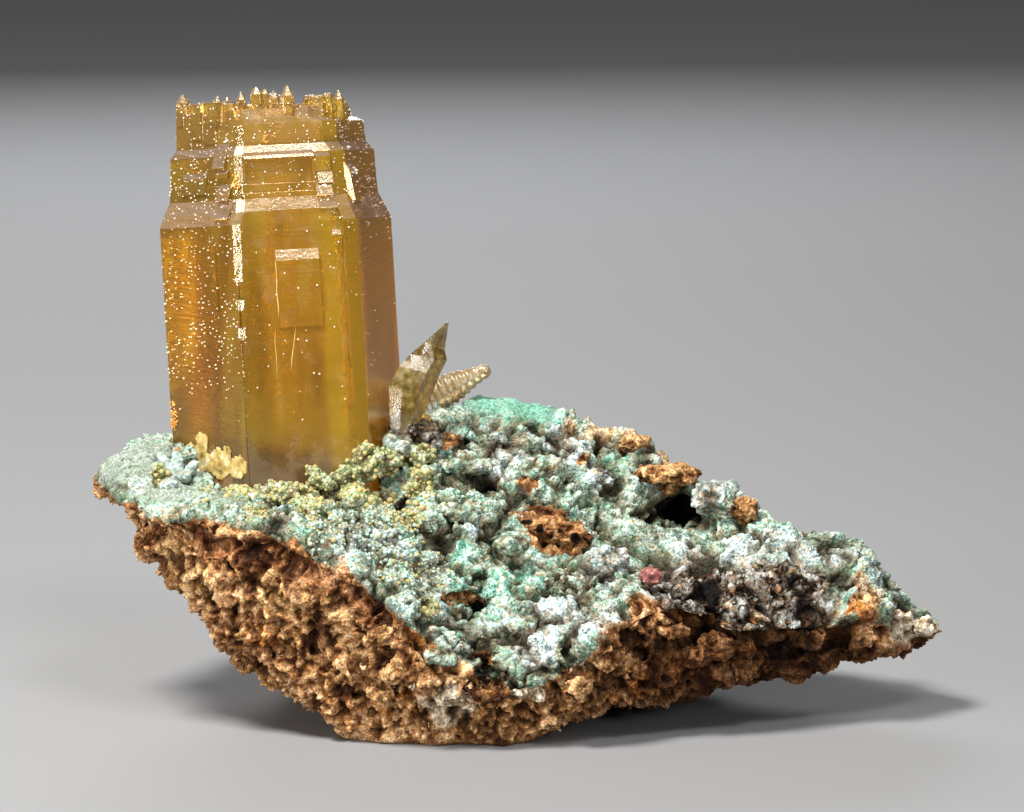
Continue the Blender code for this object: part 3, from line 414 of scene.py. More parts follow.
def new_material(name):
    """An empty material with a Principled shader joined to its output."""
    material = bpy.data.materials.new(name)
    material.use_nodes = True
    tree = material.node_tree
    tree.nodes.clear()
    output = add_node(tree, "ShaderNodeOutputMaterial")
    shader = add_node(tree, "ShaderNodeBsdfPrincipled")
    tree.links.new(shader.outputs["BSDF"], output.inputs["Surface"])
    return material, tree, shader, output


def feed(tree, shader, **inputs):
    """Set or link the shader's inputs, named with underscores for spaces."""
    for name, value in inputs.items():
        socket = shader.inputs[name.replace("_", " ")]
        if isinstance(value, bpy.types.NodeSocket):
            tree.links.new(value, socket)
        else:
            socket.default_value = value


def absorb(tree, output, colour, density):
    """Colour the light that passes through the body."""
    inside = add_node(tree, "ShaderNodeVolumeAbsorption",
                      {"Color": tuple(colour) + (1.0,), "Density": density})
    tree.links.new(inside.outputs["Volume"], output.inputs["Volume"])


# Mesh helpers


def add_object(name, data):
    obj = bpy.data.objects.new(name, data)
    bpy.context.scene.collection.objects.link(obj)
    return obj


def mesh_from_bmesh(name, shape):
    data = bpy.data.meshes.new(name)
    shape.to_mesh(data)
    shape.free()
    return data


def settle(obj):
    """Make the object's modifiers part of its mesh."""
    bpy.context.view_layer.update()
    graph = bpy.context.evaluated_depsgraph_get()
    shaped = bpy.data.meshes.new_from_object(obj.evaluated_get(graph))
    obj.modifiers.clear()
    old = obj.data
    obj.data = shaped
    shaped.name = obj.name
    bpy.data.meshes.remove(old)


def finish_piece(obj, material, nodes=(), smooth=True):
    """Give a piece its finish and its place in the model."""
    obj.data.materials.clear()
    obj.data.materials.append(material)
    obj.data.polygons.foreach_set("use_smooth", [smooth] * len(obj.data.polygons))
    if nodes:
        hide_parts(*nodes)
    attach(obj, ROOT)
    return obj


def merged_copy(node, name):
    """A copy of a CAD node's mesh with its loose triangles joined."""
    shape = bmesh.new()
    shape.from_mesh(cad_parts[node].data)
    bmesh.ops.remove_doubles(shape, verts=shape.verts, dist=0.001 * MM)
    bmesh.ops.recalc_face_normals(shape, faces=shape.faces)
    return add_object(name, mesh_from_bmesh(name, shape))


def points_of(data):
    spots = np.empty(len(data.vertices) * 3, np.float32)
    data.vertices.foreach_get("co", spots)
    return spots.reshape(-1, 3) / MM


def normals_of(data):
    found = np.empty(len(data.vertices) * 3, np.float32)
    data.vertex_normals.foreach_get("vector", found)
    return found.reshape(-1, 3)


def noise_at(spots, width, shift=0.0):
    """Noise from -1 to 1 at each point, with blobs as wide as given."""
    scaled = (spots / width + shift).tolist()
    return np.fromiter((noise.noise(spot) for spot in scaled), np.float32, len(scaled))


def warped(spots, width, amount, shift=0.0):
    """Points pushed about by noise, so that what is drawn from them gets ragged edges."""
    scaled = (spots / width + shift).tolist()
    push = np.array([noise.noise_vector(spot)[:] for spot in scaled], np.float32)
    return spots + amount * push


def layers_at(spots, width, shift=0.0):
    """Noise with four finer layers, from about -1 to 1."""
    scaled = (spots / width + shift).tolist()
    return np.fromiter((noise.fractal(spot, 0.9, 2.1, 4) for spot in scaled), np.float32,
                       len(scaled))


def cells_at(spots, width, shift=0.0):
    """For each point, the distance to its cell's centre, the gap to the next and a level."""
    found = np.empty((3, len(spots)), np.float32)
    for index, spot in enumerate((spots / width + shift).tolist()):
        away, centres = noise.voronoi(spot)
        found[0, index] = away[0]
        found[1, index] = away[1] - away[0]
        found[2, index] = noise.cell(centres[0] * 7.3)
    return found


def smooth_step(low, high, values):
    share = np.clip((values - low) / (high - low), 0.0, 1.0)
    return share * share * (3.0 - 2.0 * share)


def area_mask(spots, areas):
    """How strongly each point lies in any of the areas, from 0 to 1."""
    mask = np.zeros(len(spots), np.float32)
    for x, y, z, reach in areas:
        away = np.linalg.norm(spots - np.array((x, y, z), np.float32), axis=1) / reach
        mask = np.maximum(mask, np.exp(-away * away))
    return mask


def write_mask(data, name, values):
    layer = data.attributes.new(name, "FLOAT", "POINT")
    layer.data.foreach_set("value", values.astype(np.float32))


# Rock


# Turns and stretches places so that the bare rock's ridges run down to the right.
SLANT = np.array(((0.8, 0.0, 0.62), (0.0, 1.0, 0.0), (-0.36, 0.0, 0.46)), np.float32)


def edge_height(spots):
    """How far each point lies above the crust's lower edge."""
    edge = np.array(CRUST_EDGE, np.float32)
    return spots[:, 2] - np.interp(spots[:, 0], edge[:, 0], edge[:, 1])


def crust_mask(spots, normals, wander):
    """Where druse covers the rock, from 0 to 1."""
    above = smooth_step(-0.7, 0.9, edge_height(spots) + 0.9 * wander)
    behind = 1.0 - smooth_step(9.5, 13.0, spots[:, 1] + 1.6 * wander)
    facing = smooth_step(-0.45, 0.05, normals[:, 2] + 0.2 * wander)
    return above * behind * facing


def shape_rock(data):
    """Raise lumps, pits and grain on the rock, note what covers each point, and where painted shade and
    painted highlight go.
    """
    spots = points_of(data)
    normals = normals_of(data)
    ragged_spots = warped(spots, 1.3, 0.8, 1.0)
    rough_spots = warped(spots, 0.8, 0.35, 7.0)
    wander = noise_at(spots, 2.4, 11.0)
    crust = crust_mask(spots, normals, wander)
    brown = area_mask(ragged_spots, BROWN_AREAS)
    crust *= 1.0 - smooth_step(0.45, 0.75, brown + 0.25 * wander)
    yellow = area_mask(ragged_spots, YELLOW_AREAS)
    flat = smooth_step(0.12, 0.55, area_mask(spots, SMOOTH_AREAS))
    broad = layers_at(spots, 4.2, 3.0)
    fine = layers_at(spots, 0.55, 5.0)
    clump, clump_gap, _ = cells_at(ragged_spots, 3.1, 2.0)
    knob, knob_gap, _ = cells_at(rough_spots, 1.25, 17.0)
    bead, _, _ = cells_at(spots, 0.6, 9.0)
    slanted = ragged_spots @ SLANT
    ridge = 0.5 - np.abs(layers_at(slanted, 3.0, 41.0))
    _, chunk_gap, chunk_level = cells_at(slanted, 2.3, 4.0)
    chip, chip_gap, chip_level = cells_at(rough_spots, 0.9, 14.0)
    crevice = np.maximum(np.exp(-(clump_gap / 0.16) ** 2), 0.7 * np.exp(-(knob_gap / 0.12) ** 2))
    crevice *= smooth_step(-0.3, 0.25, wander) * (1.0 - 0.85 * flat) * (1.0 - 0.5 * yellow)
    tall = (1.0 - 0.8 * flat) * (1.0 - 0.35 * yellow)
    lumps = 0.95 * (0.42 - clump) + 0.4 * (0.45 - knob) + 0.2 * fine
    grown = tall * (lumps + 0.35 * broad - 0.6 * crevice)
    grown += (0.18 + 0.2 * yellow) * (0.5 - bead) * (1.0 - 0.7 * flat)
    crack = 0.6 * np.maximum(np.exp(-(chunk_gap / 0.08) ** 2), np.exp(-(chip_gap / 0.07) ** 2))
    crack *= smooth_step(-0.2, 0.3, wander)
    pits = smooth_step(0.34, 0.6, layers_at(slanted, 1.25, 21.0))
    chunks = 0.45 * (chunk_level - 0.5) * smooth_step(0.0, 0.3, chunk_gap)
    chunks += 0.24 * (chip_level - 0.5) * smooth_step(0.0, 0.3, chip_gap) + 0.36 * fine
    bare = 0.5 * broad + chunks + 0.8 * (ridge - 0.25) - 0.25 * crack - 0.4 * pits
    bare *= 1.0 - 0.5 * smooth_step(9.0, 15.0, spots[:, 0])
    holes = smooth_step(0.4, 0.66, layers_at(ragged_spots, 2.2, 31.0)) * (1.0 - flat)
    # Shade areas: a slight hollow and painted shade.
    dark = area_mask(ragged_spots, SHADE_AREAS)
    caves = area_mask(rough_spots, CAVE_AREAS)
    rise = crust * (grown - 0.7 * holes) + (1.0 - crust) * bare
    height = edge_height(spots)
    front = smooth_step(2.0, -3.0, spots[:, 1])
    rise += 0.45 * front * np.exp(-((height - 0.8) / 0.8) ** 2)
    rise -= 0.6 * front * np.exp(-((height + 1.0) / 1.0) ** 2)
    span = smooth_step(UNDERCUT_FROM, UNDERCUT_FROM + 2.5, spots[:, 0])
    span *= 1.0 - smooth_step(UNDERCUT_TO - 3.0, UNDERCUT_TO, spots[:, 0])
    under = span * front * np.exp(-((height + 2.6) / 1.5) ** 2)
    rise -= UNDERCUT_DEPTH * under + 0.35 * smooth_step(0.3, 0.8, dark)
    rise = np.maximum(rise - 1.2 * smooth_step(0.3, 0.75, caves), -DEEPEST) + 0.12 * fine
    for x, y, z, reach, lift in KNOLLS:
        away = np.linalg.norm(spots - np.array((x, y, z), np.float32), axis=1) / reach
        rise += lift * np.exp(-away * away)
    rise *= smooth_step(0.15, 1.2, spots[:, 2])
    moved = spots + normals * rise[:, None]
    ledge = smooth_step(SHELF_FROM, SHELF_FROM + 3.0, spots[:, 0])
    ledge *= 1.0 - smooth_step(SHELF_TO - 5.0, SHELF_TO, spots[:, 0])
    ledge *= smooth_step(-1.5, 1.5, height) * smooth_step(SHELF_BACK, SHELF_BACK - 4.0, spots[:, 1])
    moved[:, 2] -= SHELF_DROP * ledge * (1.0 + 0.35 * broad)
    moved[:, 2] = np.maximum(moved[:, 2], np.minimum(spots[:, 2], 0.0))
    data.vertices.foreach_set("co", (moved * MM).astype(np.float32).ravel())
    # Painted shade: low spots, holes, crevices, cracks, pits, caves, clefts, shade areas and the
    # undercut darken the colour.
    low = crust * smooth_step(-0.1, -0.7, tall * lumps) + (1.0 - crust) * smooth_step(
        0.02, -0.45, chunks - 0.3 * pits)
    unshaded_share = (1.0 - 0.8 * holes * crust) * (1.0 - 0.7 * smooth_step(0.25, 0.7, dark))
    cleft_shade = area_mask(rough_spots, CLEFT_SHADE_AREAS)
    unshaded_share *= (1.0 - smooth_step(0.2, 0.65, caves)) * (1.0 - smooth_step(0.3, 0.6, cleft_shade))
    unshaded_share *= (1.0 - 0.75 * crust * crevice) * (1.0 - 0.55 * under) * (1.0 - 0.7 * low)
    unshaded_share *= 1.0 - (1.0 - crust) * np.maximum(0.5 * pits, 0.7 * crack)
    face = ledge * smooth_step(-1.4, -3.2, spots[:, 1])
    lip = front * np.exp(-((height + 1.7) / 1.3) ** 2) * smooth_step(-28.0, -24.0, spots[:, 0])
    masks = {
        "crust": crust,
        "yellow": yellow,
        "flecked": area_mask(ragged_spots, FLECKED_AREAS),
        # Painted shadow under the right-hand shelf.
        "shade": smooth_step(7.5, 11.0, spots[:, 0]) * smooth_step(-1.2, -3.0, height) * front,
        "turquoise": area_mask(ragged_spots, TURQUOISE_AREAS),
        "pale": area_mask(ragged_spots, PALE_AREAS),
        "white": area_mask(ragged_spots, WHITE_AREAS),
        "tan": area_mask(ragged_spots, TAN_AREAS),
        # The shelf's front face: grey rock, darkened partly as painted shade.
        "grey_and_shade": face,
        # A reddish band under the crust's lip, darkened partly as painted shadow of the lip.
        "red": lip * (1.0 - smooth_step(-12.0, -9.0, spots[:, 0])),
        # Painted highlight on the tops of lumps and chunks.
        "top": crust * smooth_step(0.1, 0.5, tall * lumps) + (1.0 - crust) * smooth_step(
            0.02, 0.36, chunks),
        "orange": area_mask(ragged_spots, ORANGE_AREAS),
        "smooth": flat,
        "hollow": 1.0 - unshaded_share,
    }
    for name, values in masks.items():
        write_mask(data, name, values)


def rock_material():
    material, tree, shader, _ = new_material("crusted_gossan")
    place = place_in_mm(tree)
    coarse = noise_value(tree, place, 1.9, 6.0, 0.62)
    medium = noise_value(tree, place, 0.6, 5.0, 0.6, 0.3)
    fine = noise_value(tree, place, 0.2, 3.0, 0.6)
    speck = cell_value(tree, place, 0.34, "Color")
    speck_value = add_node(tree, "ShaderNodeSeparateColor", {"Color": speck})
    gossan = ramp(tree, coarse, (
        (0.26, (0.04, 0.018, 0.008)), (0.42, (0.2, 0.09, 0.036)),
        (0.54, (0.42, 0.23, 0.105)), (0.66, (0.6, 0.4, 0.22)), (0.8, (0.78, 0.62, 0.42))))
    tan = ramp(tree, medium, (
        (0.34, (0.04, 0.018, 0.007)), (0.46, (0.3, 0.145, 0.058)), (0.58, (0.6, 0.42, 0.24)),
        (0.72, (0.88, 0.76, 0.58))))
    gossan = blend(tree, 0.5, gossan, tan)
    orange = ramp(tree, medium, (
        (0.3, (0.1, 0.03, 0.005)), (0.55, (0.36, 0.14, 0.022)), (0.75, (0.58, 0.3, 0.07))))
    stain = ragged(tree, mask_value(tree, "orange"), coarse, 0.34, 0.66, 1.2)
    gossan = blend(tree, maths(tree, "MULTIPLY", stain, 0.75), gossan, orange)
    chalk = ramp(tree, medium, (
        (0.34, (0.08, 0.06, 0.04)), (0.45, (0.46, 0.43, 0.38)), (0.6, (0.76, 0.74, 0.7))))
    gossan = blend(tree, ragged(tree, mask_value(tree, "white"), coarse, 0.4, 0.7, 1.2), gossan,
                   chalk)
    cream = ramp(tree, medium, (
        (0.28, (0.1, 0.05, 0.022)), (0.44, (0.42, 0.26, 0.125)), (0.58, (0.62, 0.44, 0.25)),
        (0.74, (0.84, 0.68, 0.46))))
    sandy = ragged(tree, mask_value(tree, "tan"), coarse, 0.34, 0.64, 1.0)
    gossan = blend(tree, sandy, gossan, cream)
    # The shelf's front face: grey rock, darkened partly as painted shade.
    slate_and_shade = ramp(tree, noise_value(tree, place, 1.3, 6.0, 0.68), (
        (0.42, (0.008, 0.005, 0.003)), (0.48, (0.06, 0.042, 0.028)), (0.53, (0.2, 0.2, 0.185)),
        (0.64, (0.52, 0.55, 0.55))))
    green = ramp(tree, medium, (
        (0.3, (0.05, 0.07, 0.045)), (0.42, (0.17, 0.26, 0.2)), (0.55, (0.33, 0.46, 0.37)),
        (0.7, (0.62, 0.7, 0.6))))
    turquoise = ramp(tree, medium, (
        (0.3, (0.04, 0.12, 0.09)), (0.44, (0.15, 0.36, 0.27)), (0.56, (0.31, 0.55, 0.44)),
        (0.72, (0.62, 0.79, 0.71))))
    pale = ramp(tree, medium, (
        (0.3, (0.1, 0.12, 0.11)), (0.42, (0.3, 0.39, 0.38)), (0.55, (0.5, 0.62, 0.63)),
        (0.7, (0.8, 0.87, 0.87))))
    yellow = ramp(tree, medium, (
        (0.3, (0.05, 0.055, 0.02)), (0.42, (0.2, 0.25, 0.1)), (0.55, (0.4, 0.48, 0.27)),
        (0.7, (0.62, 0.74, 0.54))))
    drift = remap(tree, noise_value(tree, place, 2.6, 4.0, 0.6), 0.5, 0.62)
    green = blend(tree, maths(tree, "MULTIPLY", drift, 0.65), green, pale)
    tint = remap(tree, noise_value(tree, place_in_mm(tree, (9, 5, 3)), 1.9, 4.0, 0.6), 0.5, 0.6)
    green = blend(tree, maths(tree, "MULTIPLY", tint, 0.8), green, turquoise)
    crust = blend(tree, ragged(tree, mask_value(tree, "turquoise"), coarse, 0.35, 0.65, 1.0),
                  green, turquoise)
    crust = blend(tree, ragged(tree, mask_value(tree, "yellow"), coarse, 0.4, 0.7), crust,
                  yellow)
    crust = blend(tree, ragged(tree, mask_value(tree, "pale"), coarse, 0.36, 0.7, 1.0), crust,
                  pale)
    crust = blend(tree, ragged(tree, mask_value(tree, "grey_and_shade"), medium, 0.3, 0.6, 0.6), crust,
                  slate_and_shade)
    crust = blend(tree, maths(tree, "MULTIPLY", sandy, 0.85), crust, cream)
    sheet = maths(tree, "SUBTRACT", 1.0, mask_value(tree, "smooth"))
    # Painted highlight: the tops of the crust's lumps are paled.
    tops = maths(tree, "MULTIPLY", mask_value(tree, "top"), remap(tree, medium, 0.42, 0.62))
    crust = blend(tree, maths(tree, "MULTIPLY", tops, 0.35), crust, (0.68, 0.8, 0.74))
    rusty = remap(tree, noise_value(tree, place, 1.1, 6.0, 0.7), 0.54, 0.62)
    rusty = maths(tree, "MULTIPLY", maths(tree, "MULTIPLY", rusty, sheet), 0.55)
    crust = blend(tree, rusty, crust, tan)
    brown_speck = remap(tree, speck_value.outputs["Red"], 0.9, 0.96)
    brown_speck = maths(tree, "MULTIPLY", maths(tree, "MULTIPLY", brown_speck, sheet), 0.55)
    crust = blend(tree, brown_speck, crust, (0.36, 0.24, 0.1))
    white_speck = remap(tree, speck_value.outputs["Green"], 0.84, 0.9)
    crust = blend(tree, maths(tree, "MULTIPLY", white_speck, 0.35), crust, (0.8, 0.82, 0.77))
    # Painted highlight: the tops of the bare rock's chunks are lightened toward cream.
    bare_highlight = maths(tree, "MULTIPLY", mask_value(tree, "top"), remap(tree, fine, 0.4, 0.6))
    gossan = blend(tree, maths(tree, "MULTIPLY", bare_highlight, 0.55), gossan, (0.82, 0.68, 0.5))
    gossan = blend(tree, 1.0, gossan, (1.44, 1.32, 1.12), "MULTIPLY")
    cover = ragged(tree, mask_value(tree, "crust"), medium, 0.38, 0.62, 0.8)
    colour = blend(tree, cover, gossan, crust)
    pale_speck = remap(tree, speck_value.outputs["Blue"], 0.86, 0.92)
    colour = blend(tree, maths(tree, "MULTIPLY", pale_speck, 0.35), colour, (0.62, 0.5, 0.36))
    bare = maths(tree, "SUBTRACT", 1.0, cover)
    # A reddish band under the crust's lip on the left, darkened partly as painted shadow of the lip.
    red = ragged(tree, mask_value(tree, "red"), coarse, 0.3, 0.65, 0.9)
    red = maths(tree, "MULTIPLY", maths(tree, "MULTIPLY", red, bare), 0.6)
    colour = blend(tree, red, colour, (0.4, 0.24, 0.19), "MULTIPLY")
    # Painted shadow under the right-hand shelf.
    under = maths(tree, "MULTIPLY", mask_value(tree, "shade"), 0.8)
    colour = blend(tree, under, colour, (0.2, 0.12, 0.06), "MULTIPLY")
    calm = maths(tree, "MULTIPLY", mask_value(tree, "smooth"), 0.85)
    sheet_tint = ramp(tree, coarse, (
        (0.35, (0.13, 0.17, 0.12)), (0.5, (0.2, 0.23, 0.17)), (0.65, (0.25, 0.275, 0.25))))
    sheet_tint = blend(tree, mask_value(tree, "turquoise"), sheet_tint, (0.13, 0.34, 0.25))
    colour = blend(tree, calm, colour, sheet_tint)
    # Painted shade in the rock's recesses, crevices and holes.
    shade = ramp(tree, mask_value(tree, "hollow"), (
        (0.0, (1.0, 1.0, 1.0)), (0.35, (0.45, 0.38, 0.31)), (0.7, (0.13, 0.09, 0.065)),
        (0.95, (0.012, 0.01, 0.008))))
    colour = blend(tree, 1.0, colour, shade, "MULTIPLY")
    grain = ramp(tree, fine, ((0.32, (0.4, 0.38, 0.36)), (0.5, (0.95, 0.95, 0.95)),
                              (0.66, (1.5, 1.5, 1.5))))
    colour = blend(tree, 0.9, colour, grain, "MULTIPLY")
    beads = maths(tree, "MULTIPLY", cell_value(tree, place, 0.24), sheet)
    first = bump(tree, maths(tree, "SUBTRACT", 1.0, beads), 0.12, 0.8)
    second = bump(tree, fine, 0.1, 0.7, first)
    gloss = remap(tree, medium, 0.3, 0.75, 0.95, 0.6)
    feed(tree, shader, Base_Color=colour, Roughness=gloss, Normal=second,
         Specular_IOR_Level=0.12)
    return material


def build_rock():
    rock = merged_copy("matrix", "rock")
    remesh = rock.modifiers.new("Remesh", "REMESH")
    remesh.mode = "VOXEL"
    remesh.voxel_size = sizes().rock_voxel * MM
    soften = rock.modifiers.new("Smooth", "SMOOTH")
    soften.factor = 0.5
    soften.iterations = 8
    settle(rock)
    shape_rock(rock.data)
    triangles = sum(len(face.vertices) - 2 for face in rock.data.polygons)
    if triangles > sizes().rock_triangles:
        decimate = rock.modifiers.new("Decimate", "DECIMATE")
        decimate.ratio = sizes().rock_triangles / triangles
        settle(rock)
    return finish_piece(rock, rock_material(), ("matrix",))


# Grains that repeat over the rock


def grain_tree(name, faces_shape):
    """A node tree that scatters one small shape where a mask allows."""
    tree = bpy.data.node_groups.new(name, "GeometryNodeTree")
    face = tree.interface
    face.new_socket("Geometry", in_out="INPUT", socket_type="NodeSocketGeometry")
    for label, kind in (("Spacing", "NodeSocketFloat"), ("Density", "NodeSocketFloat"),
                        ("Size", "NodeSocketFloat"), ("Flatness", "NodeSocketFloat"),
                        ("Seed", "NodeSocketInt"), ("Material", "NodeSocketMaterial")):
        face.new_socket(label, in_out="INPUT", socket_type=kind)
    face.new_socket("Geometry", in_out="OUTPUT", socket_type="NodeSocketGeometry")
    start = add_node(tree, "NodeGroupInput").outputs
    mask = add_node(tree, "GeometryNodeInputNamedAttribute", {"Name": "grain_mask"},
                    data_type="FLOAT")
    spread = add_node(tree, "GeometryNodeDistributePointsOnFaces", {
        "Mesh": start["Geometry"], "Distance Min": start["Spacing"],
        "Density Max": start["Density"], "Density Factor": mask.outputs["Attribute"],
        "Seed": start["Seed"]}, distribute_method="POISSON")
    size = add_node(tree, "FunctionNodeRandomValue", {2: 0.55, 3: 1.35, "Seed": start["Seed"]},
                    data_type="FLOAT")
    size_value = add_node(tree, "ShaderNodeMath", {0: size.outputs[1], 1: start["Size"]},
                          operation="MULTIPLY").outputs[0]
    height = add_node(tree, "ShaderNodeMath", {0: size_value, 1: start["Flatness"]},
                      operation="MULTIPLY").outputs[0]
    scale = add_node(tree, "ShaderNodeCombineXYZ", {"X": size_value, "Y": size_value,
                                                    "Z": height})
    if faces_shape == "ball":
        shape = add_node(tree, "GeometryNodeMeshUVSphere", {
            "Radius": 1.0, "Segments": 8, "Rings": 5})
    elif faces_shape == "point":
        shape = add_node(tree, "GeometryNodeMeshCone", {
            "Vertices": 6, "Radius Top": 0.0, "Radius Bottom": 0.5, "Depth": 2.0})
    else:
        shape = add_node(tree, "GeometryNodeMeshIcoSphere", {"Radius": 1.0, "Subdivisions": 1})
    spin = add_node(tree, "FunctionNodeRandomValue", {
        0: (0.0, 0.0, 0.0), 1: (0.9, 0.9, math.tau), "Seed": start["Seed"]},
        data_type="FLOAT_VECTOR")
    turned = add_node(tree, "FunctionNodeRotateRotation", {
        "Rotation": spread.outputs["Rotation"], "Rotate By": spin.outputs[0]},
        rotation_space="LOCAL")
    placed = add_node(tree, "GeometryNodeInstanceOnPoints", {
        "Points": spread.outputs["Points"], "Instance": shape.outputs["Mesh"],
        "Rotation": turned.outputs["Rotation"], "Scale": scale.outputs["Vector"]})
    real = add_node(tree, "GeometryNodeRealizeInstances",
                    {"Geometry": placed.outputs["Instances"]})
    painted = add_node(tree, "GeometryNodeSetMaterial", {
        "Geometry": real.outputs["Geometry"], "Material": start["Material"]})
    add_node(tree, "NodeGroupOutput", {"Geometry": painted.outputs["Geometry"]})
    return tree


def scatter(name, host, mask, shape, material, inputs, smooth=False):
    """Scatter grains over a host mesh and keep the result as one plain piece."""
    ground = add_object(name, host.copy())
    write_mask(ground.data, "grain_mask", mask)
    tree = grain_tree(f"{name}_tree", shape)
    modifier = ground.modifiers.new("Grains", "NODES")
    modifier.node_group = tree
    values = dict(inputs, Material=material)
    for item in tree.interface.items_tree:
        if item.in_out == "INPUT" and item.name in values:
            modifier[item.identifier] = values[item.name]
    settle(ground)
    return finish_piece(ground, material, smooth=smooth)


def grain_material(name, stops, width=0.5, roughness=0.75, shine=0.4, relief=0.05):
    """A material for small grains that varies from grain to grain."""
    material, tree, shader, _ = new_material(name)
    place = place_in_mm(tree)
    value = noise_value(tree, place, width, 4.0, 0.65)
    fine = noise_value(tree, place, 0.12, 3.0, 0.6)
    colour = ramp(tree, value, stops)
    grain = ramp(tree, fine, ((0.3, (0.7, 0.7, 0.7)), (0.7, (1.15, 1.15, 1.15))))
    colour = blend(tree, 0.8, colour, grain, "MULTIPLY")
    normal = bump(tree, fine, relief, 0.6)
    feed(tree, shader, Base_Color=colour, Roughness=roughness, Normal=normal,
         Specular_IOR_Level=shine)
    return material


def read_mask(data, name):
    values = np.empty(len(data.vertices), np.float32)
    data.attributes[name].data.foreach_get("value", values)
    return values


def build_druse():
    """Druse grains in three tints, nodules at the prism's foot and crumbs of gossan."""
    host = bpy.data.objects["rock"].data
    spots = points_of(host)
    normals = normals_of(host)
    crust = read_mask(host, "crust")
    yellow = read_mask(host, "yellow")
    # Grains keep out of the painted shade in recesses.
    hollow = read_mask(host, "hollow")
    open_air = (1.0 - hollow) * (spots[:, 2] > 0.8)
    size = sizes()
    patchy = smooth_step(-0.35, 0.3, noise_at(spots, 1.6, 51.0))
    sheet = 1.0 - 0.9 * read_mask(host, "smooth")
    grounds = crust * open_air * patchy * sheet * (1.0 - 0.6 * yellow)
    scatter("crust_druse", host, grounds * 0.7, "grain", host.materials[0],
            {"Spacing": size.druse_spacing, "Density": 3.0e7, "Size": size.druse_size,
             "Flatness": 0.8, "Seed": 3}, smooth=True)
    sandy = smooth_step(0.3, 0.7, read_mask(host, "tan"))
    nodules = grain_material("yellow_nodules", (
        (0.3, (0.08, 0.075, 0.025)), (0.4, (0.25, 0.26, 0.1)), (0.46, (0.42, 0.38, 0.14)),
        (0.5, (0.36, 0.44, 0.26)), (0.54, (0.6, 0.3, 0.06)), (0.58, (0.46, 0.42, 0.17)),
        (0.62, (0.6, 0.38, 0.1)), (0.67, (0.5, 0.58, 0.42)), (0.77, (0.72, 0.68, 0.46))), 0.5, 0.8,
        0.3, 0.18)
    carpet = crust * open_air * smooth_step(0.25, 0.55, yellow)
    flecks = crust * open_air * smooth_step(0.15, 0.6, read_mask(host, "flecked")) * sheet
    scatter("loose_nodules", host, flecks, "grain", nodules,
            {"Spacing": size.nodule_spacing * 0.9, "Density": 3.5e6,
             "Size": size.nodule_size * 0.75, "Flatness": 0.9, "Seed": 10}, smooth=True)
    clumps = bpy.data.objects["clumps"].data
    dotted = smooth_step(0.3, 0.7, read_mask(clumps, "yellow"))
    scatter("clump_nodules", clumps, dotted, "grain", nodules,
            {"Spacing": size.nodule_spacing * 0.75, "Density": 9.0e6,
             "Size": size.nodule_size * 0.75, "Flatness": 0.9, "Seed": 11}, smooth=True)
    scatter("green_nodules", host, flecks, "grain", grain_material("green_nodules", (
        (0.3, (0.16, 0.26, 0.17)), (0.45, (0.36, 0.5, 0.37)), (0.58, (0.5, 0.63, 0.52)),
        (0.7, (0.74, 0.8, 0.7))), 0.45, 0.8, 0.3, 0.12),
        {"Spacing": size.nodule_spacing * 0.6, "Density": 1.2e7,
         "Size": size.nodule_size * 0.65, "Flatness": 0.85, "Seed": 14}, smooth=True)
    scatter("yellow_nodules", host, carpet, "ball", nodules,
            {"Spacing": size.nodule_spacing, "Density": 5.0e6, "Size": size.nodule_size,
             "Flatness": 0.9, "Seed": 8}, smooth=True)
    scatter("small_nodules", host, carpet, "grain", nodules,
            {"Spacing": size.nodule_spacing * 0.45, "Density": 2.5e7,
             "Size": size.nodule_size * 0.5, "Flatness": 0.9, "Seed": 9}, smooth=True)
    bare = (1.0 - crust) * open_air * smooth_step(-0.2, 0.4, noise_at(spots, 1.3, 61.0))
    bare = np.maximum(bare, 0.5 * crust * sandy)
    front = smooth_step(6.0, -2.0, spots[:, 1]) * 0.8 + 0.2
    scatter("gossan_crumbs", host, bare * front, "grain", host.materials[0],
            {"Spacing": size.crumb_spacing, "Density": 6.0e6, "Size": size.crumb_size,
             "Flatness": 0.85, "Seed": 12})


